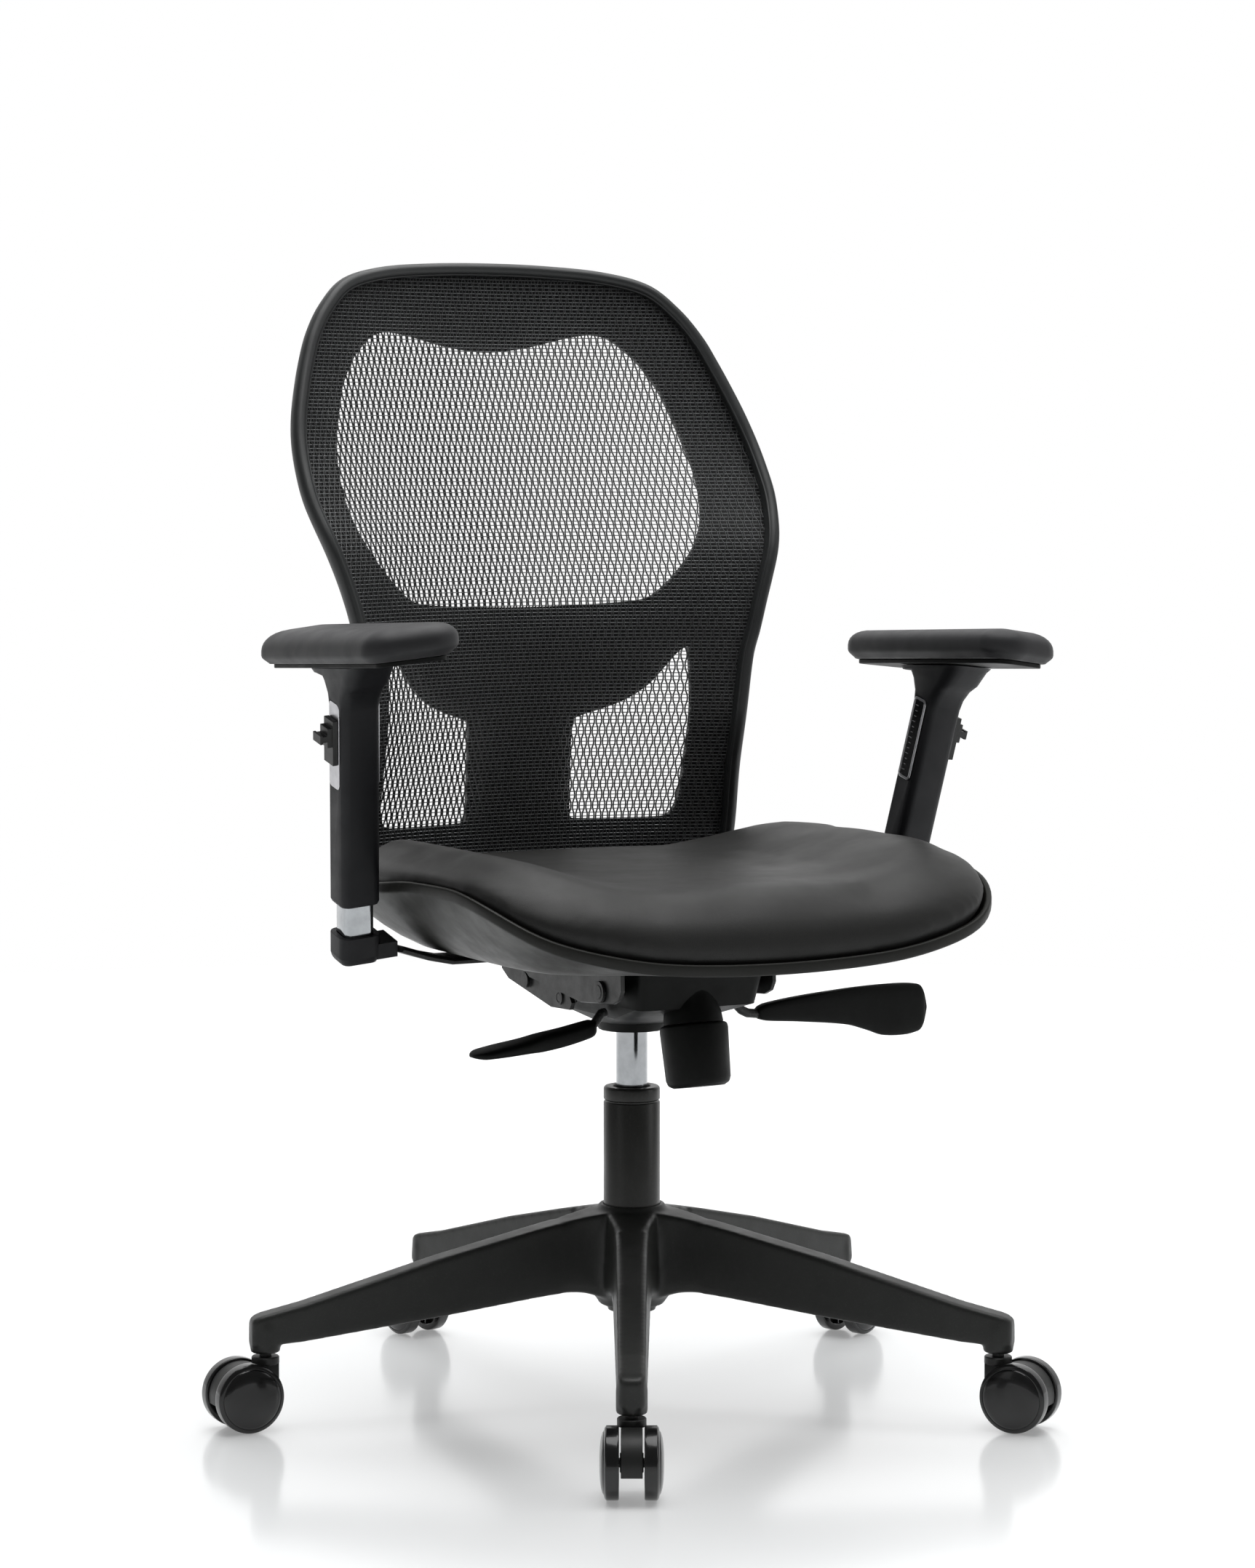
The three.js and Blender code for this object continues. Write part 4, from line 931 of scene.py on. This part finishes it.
def back_rim():
    """The rim along the back's edge, with the bead that holds the mesh round its inner front."""
    middle = inset_ring(BACK_RING, RIM_WIDTH / 2)
    path = [Vector((x, back_y(x, z), z)) for x, z in middle]
    n = len(path)
    frames = []
    for i, p in enumerate(path):
        t = (path[(i + 1) % n] - path[i - 1]).normalized()
        v = (Vector((0, 1, 0)) - t * t.y).normalized()
        frames.append((p, t.cross(v).normalized(), v))
    sign = 1 if (frames[n // 4][1].x > 0) == (path[n // 4].x > 0) else -1
    rings = [[tuple(p + u * (a * sign) + v * b) for a, b in rim_section()] for p, u, v in frames]
    bead = []
    for p, u, v in frames:
        c = p - u * (sign * (RIM_WIDTH / 2 - 1.2)) - v * 4.6
        angles = [2 * pi * k / 10 for k in range(10)]
        bead.append([tuple(c + u * (BEAD_R * cos(a)) + v * (BEAD_R * sin(a))) for a in angles])
    return joined_skins(skin(rings, closed=True), skin(bead, closed=True))


new_piece("back_frame_rim", mesh_of("back_frame_rim", *back_rim(), sharp=60), "rim_grey", "back", ["back_rim"],
          "black_plastic")


def curved_plate(name, outlines, front, thick, step=14.0):
    """A plate on the back's curve, cut to outlines in X and Z, the first outside and the others holes."""
    curve = bpy.data.curves.new(name, "CURVE")
    curve.dimensions = "2D"
    curve.fill_mode = "BOTH"
    for outline_points in outlines:
        spline = curve.splines.new("POLY")
        spline.points.add(len(outline_points) - 1)
        for point, (x, z) in zip(spline.points, outline_points):
            point.co = (x * MM, z * MM, 0, 1)
        spline.use_cyclic_u = True
    holder = bpy.data.objects.new(name, curve)
    collection.objects.link(holder)
    bpy.context.view_layer.update()
    graph = bpy.context.evaluated_depsgraph_get()
    flat = bpy.data.meshes.new_from_object(holder.evaluated_get(graph))
    bpy.data.objects.remove(holder)
    bm = bmesh.new()
    bm.from_mesh(flat)
    bmesh.ops.remove_doubles(bm, verts=bm.verts, dist=1e-6)
    for axis, low, high in ((0, -250, 250), (1, 420, 1030)):
        for at in np.arange(low, high, step):
            normal = [0, 0, 0]
            normal[axis] = 1
            point = [0, 0, 0]
            point[axis] = at * MM
            geometry = bm.verts[:] + bm.edges[:] + bm.faces[:]
            bmesh.ops.bisect_plane(bm, geom=geometry, dist=1e-7, plane_co=point, plane_no=normal)
    for v in bm.verts:
        x, z = v.co.x / MM, v.co.y / MM
        v.co = Vector((x, back_y(x, z) + front, z)) * MM
    bmesh.ops.recalc_face_normals(bm, faces=bm.faces)
    if sum(f.normal.y for f in bm.faces) > 0:
        bmesh.ops.reverse_faces(bm, faces=bm.faces)
    top = bmesh.ops.duplicate(bm, geom=bm.verts[:] + bm.edges[:] + bm.faces[:])
    copies = [g for g in top["geom"] if isinstance(g, bmesh.types.BMVert)]
    rear_faces = [g for g in top["geom"] if isinstance(g, bmesh.types.BMFace)]
    for v in copies:
        v.co.y += thick * MM
    bmesh.ops.reverse_faces(bm, faces=rear_faces)
    pairs = top["edge_map"]
    originals = [e for e in bm.edges if e in pairs and len(e.link_faces) == 1 and pairs[e] not in (None, e)]
    for e in originals:
        a, b = e.verts
        near = sorted(pairs[e].verts, key=lambda w: (w.co.x - a.co.x) ** 2 + (w.co.z - a.co.z) ** 2)
        try:
            bm.faces.new((a, b, near[1], near[0]))
        except ValueError:
            pass
    bmesh.ops.recalc_face_normals(bm, faces=bm.faces)
    data = bpy.data.meshes.new(name)
    bm.to_mesh(data)
    bm.free()
    smooth(data, 40)
    return data


def softened(points, times):
    """Cuts the corners of a closed outline, a fifth of each side at a time."""
    for _ in range(times):
        cut = []
        for i, (x, z) in enumerate(points):
            u, v = points[(i + 1) % len(points)]
            cut += [(0.8 * x + 0.2 * u, 0.8 * z + 0.2 * v), (0.2 * x + 0.8 * u, 0.2 * z + 0.8 * v)]
        points = cut
    return points


def mirrored(points):
    return [(-x, z) for x, z in points][::-1]


def panel_edge():
    return [tuple(q) for q in inset_ring(BACK_RING, RIM_WIDTH - 7)]


lower = softened(LOWER_WINDOW, 3)
outlines = [panel_edge(), softened(both_sides(UPPER_WINDOW), 2), lower, mirrored(lower)]
panel = new_piece("back_panel_plate", curved_plate("back_panel_plate", outlines, PANEL_SETBACK, PANEL_THICK),
                  "panel_black", "back", ["back_panel"], "black_plastic")
add_bevel(panel, 1.3, 50, 2)

SPINE_RINGS = (
    # height, width, depth, middle in Y
    (447, 90, 12, 237), (449, 92, 14, 237), (500, 92, 14, 235), (560, 92, 14, 233), (590, 90, 13.5, 232),
    (618, 84, 12, 230.5), (640, 72, 10, 228), (655, 60, 8, 226), (662, 50, 6, 225),
)
points, faces = skin([[(x, y, z) for x, y in oblong(w, d, min(5, d / 2.2), 5, 0, y0)]
                      for z, w, d, y0 in SPINE_RINGS])
new_piece("back_spine", mesh_of("back_spine", points, faces, 50), "panel_black", "back", slot="black_plastic")
refined("back_upright", "dark_steel", 0.9, 35, "dark_steel")
refined("back_bolt_1", "pin_steel", 0.5, 32, "dark_steel")
refined("back_bolt_2", "pin_steel", 0.5, 32, "dark_steel")

# Woven mesh: each warp yarn waves from side to side against its neighbours, which opens lens-shaped
# cells in a brick pattern, and fine weft yarns cross it three to a cell.
WARP_PITCH = 3.26
CELL_ROW = 10.05
WAVE = 0.95
WEFT_PITCH = CELL_ROW / 3
WARP_SIZE = (1.6, 0.8)  # width and thickness
WEFT_SIZE = (0.9, 0.5)
WARP_SWAY = 0.25  # how far a warp passes in front of and behind the wefts
WEFT_PUSH = -0.1
WEFT_STEP = 12.0
SHORTEST_WARP = 20
MESH_EDGE = np.array(inset_ring(BACK_RING, RIM_WIDTH - 1.5))


def crossings(value, axis):
    """Where the mesh edge crosses a line of constant X (axis 0) or Z (axis 1), sorted."""
    p, q = MESH_EDGE, np.roll(MESH_EDGE, -1, axis=0)
    a, b = p[:, axis], q[:, axis]
    hit = (a - value) * (b - value) < 0
    t = (value - a[hit]) / (b[hit] - a[hit])
    other = 1 - axis
    return np.sort(p[hit, other] + t * (q[hit, other] - p[hit, other]))


def yarn(path, wide, thick):
    """A yarn of three-sided section along a path, flat side to the rear, closed at both ends."""
    path = np.array(path)
    t = np.gradient(path, axis=0)
    t /= np.linalg.norm(t, axis=1)[:, None]
    v = np.array([0, 1, 0]) - t * t[:, 1:2]
    v /= np.linalg.norm(v, axis=1)[:, None]
    u = np.cross(t, v)
    rings = []
    for p, a, b in zip(path, u, v):
        rings.append([tuple(p - b * thick * 0.6), tuple(p + a * wide / 2 + b * thick * 0.4),
                      tuple(p - a * wide / 2 + b * thick * 0.4)])
    return skin(rings)


def back_curve(xs, zs, push):
    return np.array([back_y(x, z) + d for x, z, d in zip(xs, zs, push)])


def woven_mesh():
    """All the yarns, warps first, and how many of the faces belong to the warps."""
    parts = []
    count = int(240 // WARP_PITCH)
    for j in range(-count, count + 1):
        x0 = j * WARP_PITCH
        hits = crossings(x0 + 0.01, 0)
        if len(hits) < 2 or hits[-1] - hits[0] < SHORTEST_WARP:
            continue
        zs = np.arange(hits[0], hits[-1], CELL_ROW / 4)
        xs = x0 + (-1) ** j * WAVE * np.cos(pi * zs / CELL_ROW)
        push = WARP_SWAY * np.cos(2 * pi * zs / WEFT_PITCH / 2 + j * pi)
        parts.append(yarn(np.stack([xs, back_curve(xs, zs, push), zs], axis=1), *WARP_SIZE))
    warp_faces = sum(len(f) for _, f in parts)
    for k in range(int(440 / WEFT_PITCH), int(1016 / WEFT_PITCH) + 1):
        z = k * WEFT_PITCH
        hits = crossings(z, 1)
        if len(hits) < 2:
            continue
        xs = np.append(np.arange(hits[0], hits[-1] - WEFT_STEP / 2, WEFT_STEP), hits[-1])
        zs = np.full_like(xs, z)
        push = np.full_like(xs, WEFT_PUSH)
        parts.append(yarn(np.stack([xs, back_curve(xs, zs, push), zs], axis=1), *WEFT_SIZE))
    return *joined_skins(*parts), warp_faces


points, faces, warp_faces = woven_mesh()
data = bpy.data.meshes.new("back_mesh_weave")
data.from_pydata((np.array(points) * MM).tolist(), [], faces)
data.shade_smooth()
weave = new_piece("back_mesh_weave", data, "back_mesh_fabric", "back", ["back_mesh"], "back_mesh_fabric")
# The wefts take the pale grey look, a painted highlight for the light they catch.
data.materials.append(LOOKS["cross_yarn_painted_glint"])
for face in list(data.polygons)[warp_faces:]:
    face.material_index = 1


def mesh_cut():
    """Width, length and area of the mesh laid flat, in metres, measured along its curved surface."""
    heights = np.linspace(MESH_EDGE[:, 1].min() + 0.5, MESH_EDGE[:, 1].max() - 0.5, 300)
    line = back_curve(np.zeros_like(heights), heights, np.zeros_like(heights))
    steps = np.hypot(np.diff(heights), np.diff(line))
    widths = []
    for z in heights:
        hits = crossings(z + 0.01, 1)
        xs = np.linspace(hits[0], hits[-1], 120)
        ys = back_curve(xs, np.full_like(xs, z), np.zeros_like(xs))
        widths.append(np.hypot(np.diff(xs), np.diff(ys)).sum())
    widths = np.array(widths)
    return widths.max() * MM, steps.sum() * MM, ((widths[1:] + widths[:-1]) / 2 * steps).sum() * MM * MM


CUT_WIDTH, CUT_LENGTH, CUT_AREA = mesh_cut()

for name, node in NODES.items():
    if not node.hide_render and node.data.materials[0].name not in {m.name for m in LOOKS.values()}:
        node.data.materials[0] = LOOKS["dark_steel"]

# ---- camera, light and floor ----
camera_data = bpy.data.cameras.new("camera")
camera_data.sensor_width = 36
camera_data.lens = 94.3
camera_data.shift_x = -0.003
camera_data.clip_end = 100
camera = bpy.data.objects.new("camera", camera_data)
camera.location = (-1.692, -3.183, 0.835)
camera.rotation_euler = (radians(85.474), 0, radians(-28))
collection.objects.link(camera)
bpy.context.scene.camera = camera


def area_light(name, place, aim, size, power):
    data = bpy.data.lights.new(name, "AREA")
    data.shape = "RECTANGLE"
    data.size, data.size_y = size
    data.energy = power
    lamp = bpy.data.objects.new(name, data)
    lamp.location = place
    lamp.rotation_euler = (Vector(aim) - Vector(place)).to_track_quat("-Z", "Y").to_euler()
    collection.objects.link(lamp)
    return lamp


area_light("overhead_softbox", (0.2, 0.1, 3.1), (0, 0, 0.5), (3.0, 3.0), 88)
area_light("left_softbox", (-3.0, -0.6, 1.6), (0, 0, 0.6), (1.0, 2.4), 2.5)
area_light("right_softbox", (2.6, -1.6, 1.7), (0, 0, 0.6), (1.0, 2.4), 10)
area_light("rear_softbox", (0.6, 3.0, 2.2), (0, 0, 0.6), (2.6, 1.4), 20).visible_glossy = False

world = bpy.data.worlds.new("studio")
world.use_nodes = True
sky = world.node_tree
backdrop = sky.nodes["Background"]
backdrop.inputs["Color"].default_value = (1, 1, 1, 1)

# A bright sweep behind the chair and a dim room in front of it; the camera sees plain white.
BEHIND_CHAIR = (0.469, 0.883, 0.0)  # the camera's heading on the floor
towards = add_node(sky, "ShaderNodeTexCoord").outputs["Generated"]
facing = add_node(sky, "ShaderNodeVectorMath", {0: towards, 1: BEHIND_CHAIR}, operation="DOT_PRODUCT")
sweep = add_node(sky, "ShaderNodeMapRange", {0: facing.outputs["Value"], 1: 0.35, 2: 0.85, 3: 0.12, 4: 1.0})
seen = add_node(sky, "ShaderNodeLightPath").outputs["Is Camera Ray"]
strength = add_node(sky, "ShaderNodeMath", {0: sweep.outputs[0], 1: seen}, operation="MAXIMUM")
sky.links.new(strength.outputs[0], backdrop.inputs["Strength"])
bpy.context.scene.world = world
bpy.context.scene.view_settings.view_transform = "Standard"

floor_look = Look("floor_white", Emission_Color=(1, 1, 1, 1))
floor_reach = floor_look.put("ShaderNodeVectorMath", {0: floor_look.where}, operation="LENGTH").outputs["Value"]
for key, span in (("Emission Strength", (0.8, 3.2, 0.24, 1.0)), ("Specular IOR Level", (1.2, 3.2, 0.5, 0.0))):
    floor_look.links.new(floor_look.span(floor_reach, *span), floor_look.shader.inputs[key])
floor_tint = floor_look.span(floor_look.noise(0.8, 2), 0.3, 0.7)
floor_near = floor_look.blend(floor_tint, (0.85, 0.872, 0.88), (0.89, 0.902, 0.905))
floor_look.colour(floor_look.blend(floor_look.span(floor_reach, 1.2, 3.2), floor_near, (0.0, 0.0, 0.0)))
floor_look.roughness(floor_look.span(floor_look.noise(0.3, 2), 0.3, 0.7, 0.13, 0.18))
floor_data = bpy.data.meshes.new("floor")
FLOOR_HALF = 30
FLOOR_TOP = -0.0005  # just under the wheels
corners = [(x * FLOOR_HALF, y * FLOOR_HALF, FLOOR_TOP) for x, y in ((-1, -1), (1, -1), (1, 1), (-1, 1))]
floor_data.from_pydata(corners, [], [(0, 1, 2, 3)])
floor_data.materials.append(floor_look.material)
floor = bpy.data.objects.new("floor", floor_data)
collection.objects.link(floor)
floor.visible_diffuse = False
